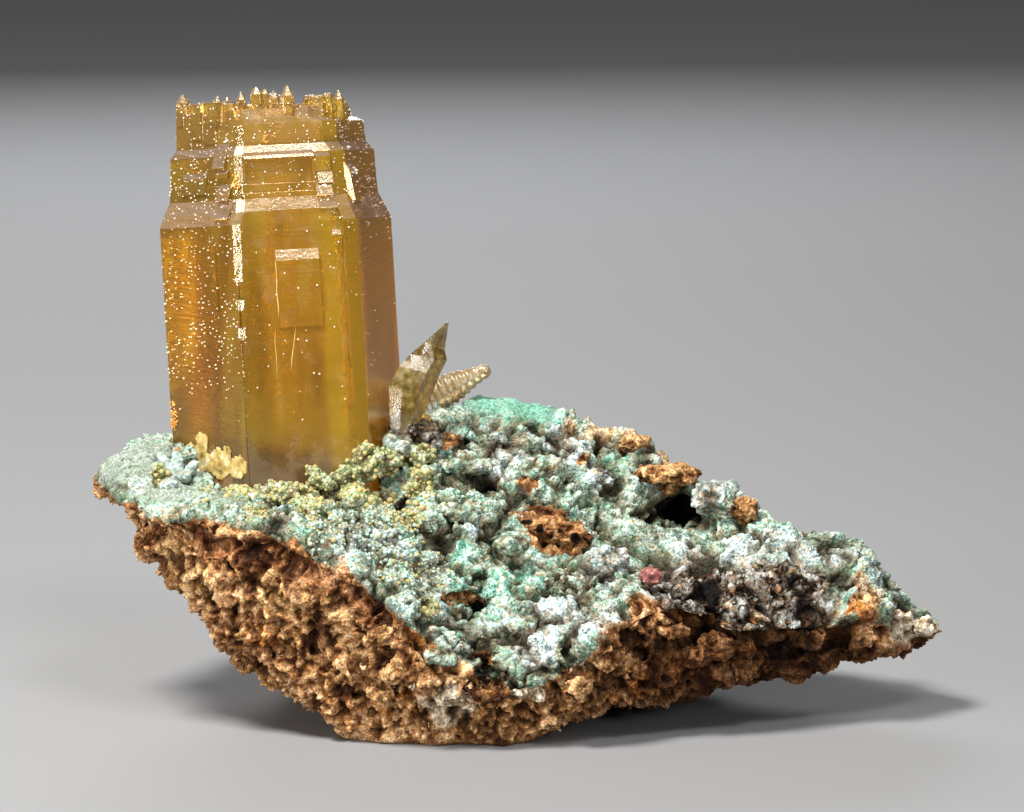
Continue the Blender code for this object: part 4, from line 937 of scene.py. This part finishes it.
def build_clumps():
    """Knobby clumps that stand out of the rock."""
    shape = bmesh.new()
    for centre, halves, _ in CLUMPS:
        made = bmesh.ops.create_icosphere(shape, subdivisions=3, radius=1.0)
        for point in made["verts"]:
            point.co = Vector([(middle + half * part) * MM for middle, half, part in zip(
                centre, halves, point.co)])
    clumps = add_object("clumps", mesh_from_bmesh("clumps", shape))
    remesh = clumps.modifiers.new("Remesh", "REMESH")
    remesh.mode = "VOXEL"
    remesh.voxel_size = 0.1 * MM
    settle(clumps)
    data = clumps.data
    spots = points_of(data)
    rough_spots = warped(spots, 0.8, 0.4, 3.0)
    knob, knob_gap, knob_level = cells_at(rough_spots, 0.95, 8.0)
    bead = cells_at(spots, 0.5, 6.0)[0]
    away = np.stack([np.linalg.norm((spots - np.array(centre, np.float32)) / np.array(
        halves, np.float32), axis=1) for centre, halves, _ in CLUMPS])
    nearest = away.argmin(axis=0)
    kinds = [kind for _, _, kind in CLUMPS]
    angular = np.array([kind in {"brown", "tan", "shadowed_brown", "ochre"} for kind in kinds])[nearest]
    lumpy = 0.5 * (0.5 - knob) + 0.2 * (0.5 - bead)
    chunky = 0.3 * (knob_level - 0.5) * smooth_step(0.0, 0.25, knob_gap) + 0.12 * (0.5 - bead)
    rise = np.where(angular, chunky, lumpy) + 0.4 * layers_at(spots, 1.3, 5.0)
    moved = spots + normals_of(data) * rise[:, None]
    data.vertices.foreach_set("co", (moved * MM).astype(np.float32).ravel())
    names = ("crust", "yellow", "flecked", "shade", "turquoise", "pale", "white", "tan", "grey_and_shade",
             "red", "top", "orange", "smooth", "hollow")
    for name in names:
        values = np.array([CLUMP_MASKS[kind].get(name, 0.0) for kind in kinds], np.float32)[nearest]
        # Painted shade in the clumps' low spots and caves.
        if name == "hollow":
            cave_shade = smooth_step(0.25, 0.6, area_mask(rough_spots, CAVE_AREAS))
            base = np.where(angular, 0.2, 0.1)
            values = np.maximum(base + 0.4 * smooth_step(0.1, -0.25, rise), cave_shade)
        # Painted highlight on the tops of the clumps.
        if name == "top":
            values = smooth_step(0.1, 0.35, rise)
        write_mask(data, name, values)
    return finish_piece(clumps, bpy.data.materials["crusted_gossan"])


# Crystals


def prism_place():
    """The prism's own frame in metres, with its axis as local Z."""
    lean = Matrix.Rotation(-LEAN_LEFT, 4, "Y") @ Matrix.Rotation(-LEAN_BACK, 4, "X")
    return Matrix.Translation(PRISM_FOOT * MM) @ lean


def side_value(tree, split, bearing):
    """Where a point of the prism lies on the side that faces a bearing."""
    along = maths(tree, "MULTIPLY", split.outputs["X"], math.cos(bearing))
    along = maths(tree, "ADD", along, maths(tree, "MULTIPLY", split.outputs["Y"],
                                            math.sin(bearing)))
    return remap(tree, along, PRISM_REACH - 1.0, PRISM_REACH - 0.2)


def amber_material():
    """Clear amber with frosted shoulders whitened partly as painted highlight, painted shade on its left
    side and painted light on its right, a hazy foot, streaks and fine growth lines.
    """
    material, tree, shader, output = new_material("amber_mimetite")
    turn = (LEAN_BACK, LEAN_LEFT, 0.0)
    place = place_in_mm(tree, PRISM_FOOT, turn)
    split = add_node(tree, "ShaderNodeSeparateXYZ", {"Vector": place})
    broad = noise_value(tree, place, 5.0, 4.0, 0.55)
    level = maths(tree, "ADD", maths(tree, "DIVIDE", split.outputs["Z"], 34.0),
                  maths(tree, "MULTIPLY", broad, 0.3))
    amber = Vector(colours().amber)
    colour = ramp(tree, level, (
        (0.08, (0.2, 0.15, 0.08)), (0.17, (0.34, 0.24, 0.1)), (0.27, (0.66, 0.44, 0.07)),
        (0.42, tuple(amber * 0.88)), (0.62, tuple(amber)), (0.82, (0.88, 0.54, 0.09)),
        (0.95, (0.9, 0.58, 0.16))))
    streaks = noise_value(tree, place_in_mm(tree, PRISM_FOOT, turn, (520, 520, 90)), 1.0, 2.0,
                          0.5)
    dark = maths(tree, "MULTIPLY", remap(tree, streaks, 0.5, 0.68), 0.5)
    colour = blend(tree, dark, colour, (0.38, 0.17, 0.015))
    gold = maths(tree, "MULTIPLY", remap(tree, streaks, 0.46, 0.34), 0.6)
    colour = blend(tree, gold, colour, (0.97, 0.7, 0.1))
    veil = remap(tree, noise_value(tree, place, 2.8, 4.0, 0.6), 0.5, 0.75)
    colour = blend(tree, maths(tree, "MULTIPLY", veil, 0.4), colour, (0.5, 0.24, 0.02))
    # Painted shade darkens the left side; painted light brightens and warms the right side.
    colour = blend(tree, side_value(tree, split, LEFT_BEARING), colour, (0.7, 0.78, 0.7),
                   "MULTIPLY")
    colour = blend(tree, maths(tree, "MULTIPLY", side_value(tree, split, RIGHT_BEARING), 0.75),
                   colour, (1.0, 0.74, 0.06))
    cloud = noise_value(tree, place, 0.9, 6.0, 0.65)
    low = remap(tree, split.outputs["Z"], 4.2, 0.4)
    side = remap(tree, split.outputs["X"], -2.2, -4.2)
    crusty = maths(tree, "MULTIPLY", maths(tree, "MULTIPLY", low, side),
                   remap(tree, maths(tree, "ADD", cloud, maths(tree, "MULTIPLY", low, 0.22)),
                         0.56, 0.66))
    cream = ramp(tree, noise_value(tree, place, 0.5, 4.0, 0.6), (
        (0.35, (0.6, 0.4, 0.12)), (0.5, (0.8, 0.66, 0.34)), (0.62, (0.9, 0.88, 0.8))))
    colour = blend(tree, maths(tree, "MULTIPLY", crusty, 0.9), colour, cream)
    normal = add_node(tree, "ShaderNodeNewGeometry").outputs["Normal"]
    facing = add_node(tree, "ShaderNodeSeparateXYZ", {"Vector": normal}).outputs["Z"]
    slope = remap(tree, facing, 0.2, 0.42)
    stripes = noise_value(tree, place_in_mm(tree, PRISM_FOOT, turn, (250, 250, 5200)), 1.0, 3.0,
                          0.6)
    # Upward faces are whitened: partly frosting, partly a painted highlight.
    frost_and_highlight = maths(tree, "MULTIPLY", slope, remap(tree, stripes, 0.3, 0.6, 0.35, 0.85))
    colour = blend(tree, frost_and_highlight, colour, (0.86, 0.74, 0.62))
    lines = ramp(tree, stripes, ((0.3, (0.72, 0.68, 0.6)), (0.62, (1.08, 1.08, 1.1))))
    colour = blend(tree, 0.35, colour, lines, "MULTIPLY")
    pits = noise_value(tree, place, 0.3, 3.0, 0.6)
    first = bump(tree, stripes, 0.05, 0.25)
    depth = maths(tree, "ADD", 0.25, maths(tree, "MULTIPLY", slope, 0.6))
    second = add_node(tree, "ShaderNodeBump", {
        "Height": pits, "Distance": 0.05 * MM, "Strength": depth, "Normal": first})
    rough = remap(tree, noise_value(tree, place, 1.4, 5.0, 0.65), 0.42, 0.72, 0.04, 0.26)
    rough = maths(tree, "ADD", rough, maths(tree, "MULTIPLY", slope, 0.12))
    haze = remap(tree, level, 0.28, 0.14, 0.0, 0.3)
    rough = maths(tree, "ADD", rough, maths(tree, "MULTIPLY", crusty, 0.4))
    feed(tree, shader, Base_Color=colour, Roughness=maths(tree, "ADD", rough, haze),
         Normal=second.outputs["Normal"])
    feed(tree, shader, Transmission_Weight=0.88, IOR=2.1, Specular_IOR_Level=0.2,
         Specular_Tint=(1.0, 0.84, 0.6, 1.0))
    absorb(tree, output, (0.98, 0.8, 0.17), 115.0)
    return material


def prism_frame(spots):
    """Points in the prism's own frame, in millimetres."""
    back = np.array(prism_place().inverted(), np.float32)
    return spots @ back[:3, :3].T + back[:3, 3] / MM


def narrow_bevel(data):
    """Close the front-left bevel below the middle, but for two glinting facets."""
    place = prism_place()
    inward = place.inverted()
    shape = bmesh.new()
    shape.from_mesh(data)
    cuts = [BEVEL_END, BEVEL_END - 0.35]
    for height in GLINTS:
        cuts += [height - 0.55, height - 0.35, height + 0.35, height + 0.55]
    for height in cuts:
        bmesh.ops.bisect_plane(
            shape, geom=shape.verts[:] + shape.edges[:] + shape.faces[:], dist=0.001 * MM,
            plane_co=place @ Vector((0, 0, height * MM)),
            plane_no=place.to_3x3() @ Vector((0, 0, 1)))
    out = Vector((math.cos(BEVEL_BEARING), math.sin(BEVEL_BEARING)))
    for point in shape.verts:
        local = inward @ point.co
        flat = Vector((local.x, local.y))
        along = flat.dot(out)
        across = flat.y * out.x - flat.x * out.y
        low = local.z < (BEVEL_END - 0.3) * MM
        kept = any(abs(local.z - height * MM) < 0.4 * MM for height in GLINTS)
        if low and not kept and along > BEVEL_REACH * MM and abs(across) < BEVEL_HALF * MM:
            outer = out * (along + 0.5 * abs(across)) + Vector((-out.y, out.x)) * across * 0.2
            point.co = place @ Vector((outer.x, outer.y, local.z))
    bmesh.ops.triangulate(shape, faces=shape.faces)
    shape.to_mesh(data)
    shape.free()


def flatten_plate(data):
    """Level the thin plate on the prism's right side, whose edge glints too much."""
    place = prism_place()
    inward = place.inverted()
    out = Vector((math.cos(RIGHT_BEARING), math.sin(RIGHT_BEARING), 0.0))
    shape = bmesh.new()
    shape.from_mesh(data)
    for point in shape.verts:
        local = inward @ point.co
        excess = local.dot(out) - PRISM_REACH * MM
        if excess > 0.0 and PLATE_SPAN[0] * MM < local.z < PLATE_SPAN[1] * MM:
            point.co = place @ (local - excess * out)
    bmesh.ops.dissolve_degenerate(shape, dist=0.002 * MM, edges=shape.edges[:])
    bmesh.ops.triangulate(shape, faces=shape.faces[:])
    shape.to_mesh(data)
    shape.free()


def build_prism():
    prism = merged_copy("main_crystal", "amber_prism")
    narrow_bevel(prism.data)
    flatten_plate(prism.data)
    return finish_piece(prism, amber_material(), ("main_crystal",),
                        smooth=False)


def add_tube(shape, points, radius, sides=6):
    """Add a closed tube through the points to a bmesh, in millimetres."""
    rings = []
    for index, point in enumerate(points):
        ahead = points[min(index + 1, len(points) - 1)] - points[max(index - 1, 0)]
        turn = ahead.to_track_quat("Z", "Y")
        width = radius * (0.35 if index in (0, len(points) - 1) else 1.0)
        rings.append([shape.verts.new((point + turn @ Vector((
            width * math.cos(math.tau * side / sides), width * math.sin(math.tau * side / sides),
            0.0))) * MM) for side in range(sides)])
    for lower, upper in zip(rings, rings[1:]):
        for side in range(sides):
            after = (side + 1) % sides
            shape.faces.new((lower[side], lower[after], upper[after], upper[side]))
    shape.faces.new(rings[0][::-1])
    shape.faces.new(rings[-1])


def build_growths():
    """What grows on and in the prism: specks, stains, crust at its foot and hairs, with white scales and
    one gold line as painted highlights.
    """
    host = merged_copy("main_crystal", "growth_host")
    remesh = host.modifiers.new("Remesh", "REMESH")
    remesh.mode = "VOXEL"
    remesh.voxel_size = 0.22 * MM
    settle(host)
    proud = points_of(host.data) + GROWTH_LIFT * normals_of(host.data)
    host.data.vertices.foreach_set("co", (proud * MM).astype(np.float32).ravel())
    data = host.data
    bpy.data.objects.remove(host)
    spots = points_of(data)
    local = prism_frame(spots)
    normals = normals_of(data)
    left = np.array((math.cos(LEFT_BEARING), math.sin(LEFT_BEARING), 0.0), np.float32)
    on_left = smooth_step(0.6, 0.9, normals @ left)
    height = local[:, 2]
    patchy = 0.35 + 0.65 * smooth_step(-0.3, 0.3, noise_at(spots, 2.0, 5.0))
    upper = smooth_step(16.0, 21.0, height)
    right_side = smooth_step(2.0, 6.0, local[:, 0])
    specks = patchy * np.maximum(on_left * smooth_step(3.0, 9.0, height), 0.0)
    specks = np.maximum(specks, patchy * upper * (0.45 + 0.55 * right_side))
    specks = np.maximum(specks, 0.1 * patchy * smooth_step(2.0, 6.0, height))
    white = grain_material("white_specks", ((0.3, (0.75, 0.68, 0.52)), (0.6, (0.95, 0.92, 0.85))),
                           0.6, 0.35, 0.6)
    scatter("prism_specks", data, specks, "grain", white,
            {"Spacing": 0.2 * MM, "Density": 4.2e6, "Size": 0.062 * MM, "Flatness": 0.7,
             "Seed": 21})
    stain = area_mask(local, STAIN_AREAS)
    scatter("orange_stains", data, smooth_step(0.35, 0.75, stain + 0.3 * noise_at(spots, 0.5)),
            "grain", grain_material("orange_stain", (
                (0.3, (0.5, 0.16, 0.02)), (0.5, (0.8, 0.34, 0.06)), (0.7, (0.92, 0.6, 0.3)))),
            {"Spacing": 0.11 * MM, "Density": 6.0e7, "Size": 0.1 * MM,
                               "Flatness": 0.5, "Seed": 22})
    # Painted highlight: white scales on the stepped columns.
    scale_highlight = area_mask(local, HIGHLIGHT_SCALE_AREAS) + 0.35 * noise_at(spots, 0.5, 9.0)
    scatter("white_highlight_scales", data, smooth_step(0.45, 0.85, scale_highlight), "grain",
            grain_material("white_highlight_scales", ((0.3, (0.7, 0.64, 0.55)), (0.6, (0.95, 0.94, 0.92))),
                           0.5, 0.3, 0.8),
            {"Spacing": 0.11 * MM, "Density": 6.0e7, "Size": 0.1 * MM, "Flatness": 0.35,
             "Seed": 24})
    foot = area_mask(local, FOOT_CRUST_AREAS)
    ragged_foot = foot + 0.2 * noise_at(spots, 1.4, 2.0) + 0.08 * noise_at(spots, 0.5, 4.0)
    patch = bmesh.new()
    patch.from_mesh(data)
    patch.verts.ensure_lookup_table()
    bare_faces = [face for face in patch.faces
                  if any(ragged_foot[corner.index] < 0.4 for corner in face.verts)]
    bmesh.ops.delete(patch, geom=bare_faces, context="FACES")
    crust = add_object("foot_crust", mesh_from_bmesh("foot_crust", patch))
    thick = crust.modifiers.new("Solidify", "SOLIDIFY")
    thick.thickness = 0.08 * MM
    thick.offset = 1.0
    divide = crust.modifiers.new("Subdivide", "SUBSURF")
    divide.levels = 1
    divide.render_levels = 1
    settle(crust)
    spots = points_of(crust.data)
    proud = spots + normals_of(crust.data) * (0.07 * noise_at(spots, 0.4, 6.0))[:, None]
    crust.data.vertices.foreach_set("co", (proud * MM).astype(np.float32).ravel())
    finish_piece(crust, grain_material("cream_crust", (
        (0.36, (0.2, 0.13, 0.04)), (0.46, (0.42, 0.29, 0.08)), (0.56, (0.5, 0.4, 0.17)),
        (0.68, (0.66, 0.62, 0.5))), 0.9, 0.85, 0.3, 0.08))
    shape = bmesh.new()
    place = prism_place()
    for radius, depth, points in HAIRS_AND_EDGE_GLINT:
        path = []
        for x, height in points:
            y = (x * math.cos(FRONT_BEARING) - PRISM_REACH + depth) / math.sin(-FRONT_BEARING)
            path.append(place @ (Vector((x, y, height)) * MM) / MM)
        add_tube(shape, path, radius)
    # One of the tubes is a painted highlight along the panel's left edge.
    hairs = add_object("hairs", mesh_from_bmesh("hairs", shape))
    finish_piece(hairs, grain_material("gold_hairs_and_edge_glint", (
        (0.3, (0.46, 0.28, 0.05)), (0.6, (0.7, 0.5, 0.16))), 0.5, 0.5))


def clear_material(name, colour, vary, roughness, transmission, absorption, density, centre):
    """Clear to cloudy crystal with fine growth lines."""
    material, tree, shader, output = new_material(name)
    place = place_in_mm(tree, centre)
    value = noise_value(tree, place, 0.9, 5.0, 0.65)
    shade = ramp(tree, value, ((0.42, tuple(vary)), (0.66, tuple(colour))))
    fine = noise_value(tree, place, 0.14, 3.0, 0.6)
    feed(tree, shader, Base_Color=shade, Normal=bump(tree, fine, 0.04, 0.4),
         Roughness=remap(tree, value, 0.3, 0.7, roughness, roughness + 0.25))
    feed(tree, shader, Transmission_Weight=transmission, IOR=2.1, Specular_IOR_Level=0.12)
    absorb(tree, output, absorption, density)
    return material


def build_blade():
    blade = merged_copy("blade_crystal", "blade")
    material = clear_material("pale_mimetite", colours().pale, (0.3, 0.17, 0.02), 0.1, 0.86,
                              (0.95, 0.84, 0.3), 300.0, (-8.0, 2.0, 25.0))
    return finish_piece(blade, material, ("blade_crystal",), smooth=False)


def build_finger():
    finger = merged_copy("ribbed_crystal", "ribbed_finger")
    divide = finger.modifiers.new("Subdivide", "SUBSURF")
    divide.subdivision_type = "SIMPLE"
    divide.levels = 2
    divide.render_levels = 2
    soften = finger.modifiers.new("Smooth", "SMOOTH")
    soften.factor = 0.5
    soften.iterations = 5
    settle(finger)
    material = clear_material("white_mimetite", (0.86, 0.74, 0.46), (0.56, 0.38, 0.16), 0.15,
                              0.7, (0.96, 0.9, 0.66), 110.0, (-5.0, 8.5, 25.0))
    return finish_piece(finger, material, ("ribbed_crystal",))


def build_chip():
    chip = merged_copy("amber_chip", "chip")
    material = clear_material("chip_amber", (0.8, 0.45, 0.09), (0.4, 0.18, 0.03), 0.15, 0.4,
                              (0.95, 0.7, 0.2), 150.0, (-7.8, 5.7, 22.7))
    return finish_piece(chip, material, ("amber_chip",), smooth=False)


def build_red_grain():
    grain = merged_copy("red_grain", "red_lump")
    divide = grain.modifiers.new("Subdivide", "SUBSURF")
    divide.subdivision_type = "SIMPLE"
    divide.levels = 3
    divide.render_levels = 3
    settle(grain)
    spots = points_of(grain.data)
    rise = 0.12 * noise_at(spots, 0.5, 3.0) + 0.1 * (0.5 - cells_at(spots, 0.45, 1.0)[0])
    moved = spots + normals_of(grain.data) * rise[:, None]
    grain.data.vertices.foreach_set("co", (moved * MM).astype(np.float32).ravel())
    material = grain_material("red_mineral", (
        (0.34, (0.06, 0.015, 0.012)), (0.5, (0.2, 0.055, 0.045)), (0.6, (0.34, 0.13, 0.1)),
        (0.74, (0.66, 0.46, 0.38))), 0.4, 0.5, 0.4, 0.12)
    return finish_piece(grain, material, ("red_grain",))


def build_spray():
    spray = merged_copy("left_spray", "crusted_spray")
    remesh = spray.modifiers.new("Remesh", "REMESH")
    remesh.mode = "VOXEL"
    remesh.voxel_size = 0.07 * MM
    settle(spray)
    spots = points_of(spray.data)
    rise = 0.14 * (0.5 - cells_at(spots, 0.4, 1.0)[0]) + 0.06 * noise_at(spots, 0.2, 3.0)
    moved = spots + normals_of(spray.data) * rise[:, None]
    spray.data.vertices.foreach_set("co", (moved * MM).astype(np.float32).ravel())
    material = grain_material("spray_crust", (
        (0.36, (0.3, 0.15, 0.05)), (0.44, (0.24, 0.33, 0.28)), (0.55, (0.38, 0.46, 0.43)),
        (0.72, (0.6, 0.64, 0.6))), 0.9, 0.8)
    return finish_piece(spray, material, ("left_spray",))


# Stage


def aim(obj, target):
    direction = Vector(target) * MM - obj.location
    obj.rotation_euler = direction.to_track_quat("-Z", "Y").to_euler()


def add_softbox(name, place, target, width, height, watts, tint=(1.0, 1.0, 1.0)):
    light = bpy.data.lights.new(name, "AREA")
    light.shape = "RECTANGLE"
    light.size = width * MM
    light.size_y = height * MM
    light.energy = watts
    light.color = tint
    obj = add_object(name, light)
    obj.location = Vector(place) * MM
    aim(obj, target)
    return obj


def add_floor():
    """A level runner under the specimen that reaches far behind it."""
    shape = bmesh.new()
    bmesh.ops.create_grid(shape, x_segments=8, y_segments=24, size=1.0)
    for point in shape.verts:
        point.co.x *= FLOOR_HALF_WIDTH
        point.co.y = point.co.y * FLOOR_HALF_DEPTH + FLOOR_HALF_DEPTH - FLOOR_FRONT
    floor = add_object("floor", mesh_from_bmesh("floor", shape))
    material, tree, shader, _ = new_material("pale_floor")
    place = place_in_mm(tree)
    tone = ramp(tree, noise_value(tree, place, 60.0, 2.0), (
        (0.3, tuple(Vector(colours().floor) * 0.98)), (0.7, tuple(colours().floor))))
    feed(tree, shader, Base_Color=tone, Roughness=0.85)
    floor.data.materials.append(material)
    return floor


def add_camera():
    """A long lens in front, ten degrees above the level."""
    data = bpy.data.cameras.new("camera")
    data.lens = 200.0
    data.sensor_width = 36.0
    data.clip_end = 20.0
    camera = add_object("camera", data)
    rise = math.radians(10.0)
    target = Vector((-0.48, 0.0, 24.86))
    camera.location = (target + Vector((0.0, -math.cos(rise), math.sin(rise))) * 455.1) * MM
    camera.rotation_euler = (math.radians(80.0), 0.0, 0.0)
    bpy.context.scene.camera = camera


def build_stage():
    add_floor()
    add_camera()
    world = bpy.data.worlds.new("studio")
    bpy.context.scene.world = world
    world.use_nodes = True
    background = world.node_tree.nodes["Background"]
    background.inputs["Color"].default_value = (0.8, 0.84, 0.9, 1.0)
    background.inputs["Strength"].default_value = 0.12
    add_softbox("key_box", (-130, -110, 340), (-5, 0, 22), 90, 90, 2.7, (1.0, 0.98, 0.95))
    add_softbox("fill_box", (-330, -210, 90), (-10, 0, 12), 120, 120, 0.82, (1.0, 0.97, 0.93))
    add_softbox("shoulder_box", (85, -200, 310), (-15, 0, 35), 110, 80, 0.6)
    add_softbox("tip_box", (230, -330, 150), (30, 0, 10), 70, 70, 0.4)
    add_softbox("edge_box", (-246, -340, 56), (-18, 0, 35), 30, 120, 0.42)
    add_softbox("back_box", (-50, 390, 170), (-14, 0, 35), 230, 90, 0.85, (0.96, 0.98, 1.0))
    bpy.context.scene.view_settings.view_transform = "Standard"


# Operators, one for each piece or group


class PieceOperator:
    """What the piece operators share."""

    bl_options = {"REGISTER", "UNDO"}
    builder = None

    def execute(self, context):
        type(self).builder()
        return {"FINISHED"}


class MINERAL_OT_rock(PieceOperator, bpy.types.Operator):
    """Build the crusted gossan matrix"""

    bl_idname = "mineral.rock"
    bl_label = "Crusted Rock"
    builder = staticmethod(build_rock)


class MINERAL_OT_clumps(PieceOperator, bpy.types.Operator):
    """Build the clumps that stand out of the rock"""

    bl_idname = "mineral.clumps"
    bl_label = "Clumps"
    builder = staticmethod(build_clumps)


class MINERAL_OT_druse(PieceOperator, bpy.types.Operator):
    """Scatter druse, nodules and crumbs over the rock"""

    bl_idname = "mineral.druse"
    bl_label = "Druse and Crumbs"
    builder = staticmethod(build_druse)


class MINERAL_OT_prism(PieceOperator, bpy.types.Operator):
    """Build the stepped amber prism"""

    bl_idname = "mineral.prism"
    bl_label = "Amber Prism"
    builder = staticmethod(build_prism)


class MINERAL_OT_growths(PieceOperator, bpy.types.Operator):
    """Grow specks, stains, crust and hairs on the amber prism"""

    bl_idname = "mineral.growths"
    bl_label = "Growths on the Prism"
    builder = staticmethod(build_growths)


class MINERAL_OT_blade(PieceOperator, bpy.types.Operator):
    """Build the pale blade crystal"""

    bl_idname = "mineral.blade"
    bl_label = "Blade Crystal"
    builder = staticmethod(build_blade)


class MINERAL_OT_finger(PieceOperator, bpy.types.Operator):
    """Build the ribbed finger crystal"""

    bl_idname = "mineral.finger"
    bl_label = "Ribbed Finger"
    builder = staticmethod(build_finger)


class MINERAL_OT_chip(PieceOperator, bpy.types.Operator):
    """Build the amber chip"""

    bl_idname = "mineral.chip"
    bl_label = "Amber Chip"
    builder = staticmethod(build_chip)


class MINERAL_OT_red_grain(PieceOperator, bpy.types.Operator):
    """Build the red grain"""

    bl_idname = "mineral.red_grain"
    bl_label = "Red Grain"
    builder = staticmethod(build_red_grain)


class MINERAL_OT_spray(PieceOperator, bpy.types.Operator):
    """Build the crusted spray"""

    bl_idname = "mineral.spray"
    bl_label = "Crusted Spray"
    builder = staticmethod(build_spray)


class MINERAL_OT_stage(PieceOperator, bpy.types.Operator):
    """Set the floor, lights and camera"""

    bl_idname = "mineral.stage"
    bl_label = "Stage"
    builder = staticmethod(build_stage)


OPERATORS = (
    MINERAL_OT_rock, MINERAL_OT_clumps, MINERAL_OT_druse, MINERAL_OT_prism, MINERAL_OT_growths,
    MINERAL_OT_blade, MINERAL_OT_finger, MINERAL_OT_chip, MINERAL_OT_red_grain,
    MINERAL_OT_spray, MINERAL_OT_stage,
)


class MINERAL_PT_specimen(bpy.types.Panel):
    """Sizes, colours and steps of the specimen"""

    bl_label = "Mimetite Specimen"
    bl_idname = "MINERAL_PT_specimen"
    bl_space_type = "VIEW_3D"
    bl_region_type = "UI"
    bl_category = "Mineral"

    def draw(self, context):
        for group in (context.scene.specimen_sizes, context.scene.specimen_colours):
            for name in group.bl_rna.properties.keys():
                if name not in {"rna_type", "name"}:
                    self.layout.prop(group, name)
        for operator in OPERATORS:
            self.layout.operator(operator.bl_idname)


CLASSES = (SpecimenSizes, SpecimenColours) + OPERATORS + (MINERAL_PT_specimen,)


def register():
    for item in CLASSES:
        bpy.utils.register_class(item)
    bpy.types.Scene.specimen_sizes = PointerProperty(type=SpecimenSizes)
    bpy.types.Scene.specimen_colours = PointerProperty(type=SpecimenColours)


def unregister():
    del bpy.types.Scene.specimen_colours
    del bpy.types.Scene.specimen_sizes
    for item in reversed(CLASSES):
        bpy.utils.unregister_class(item)


def main():
    register()
    for step in ("rock", "clumps", "druse", "prism", "growths", "blade", "finger", "chip",
                 "red_grain", "spray", "stage"):
        getattr(bpy.ops.mineral, step)()


if __name__ == "__main__":
    main()
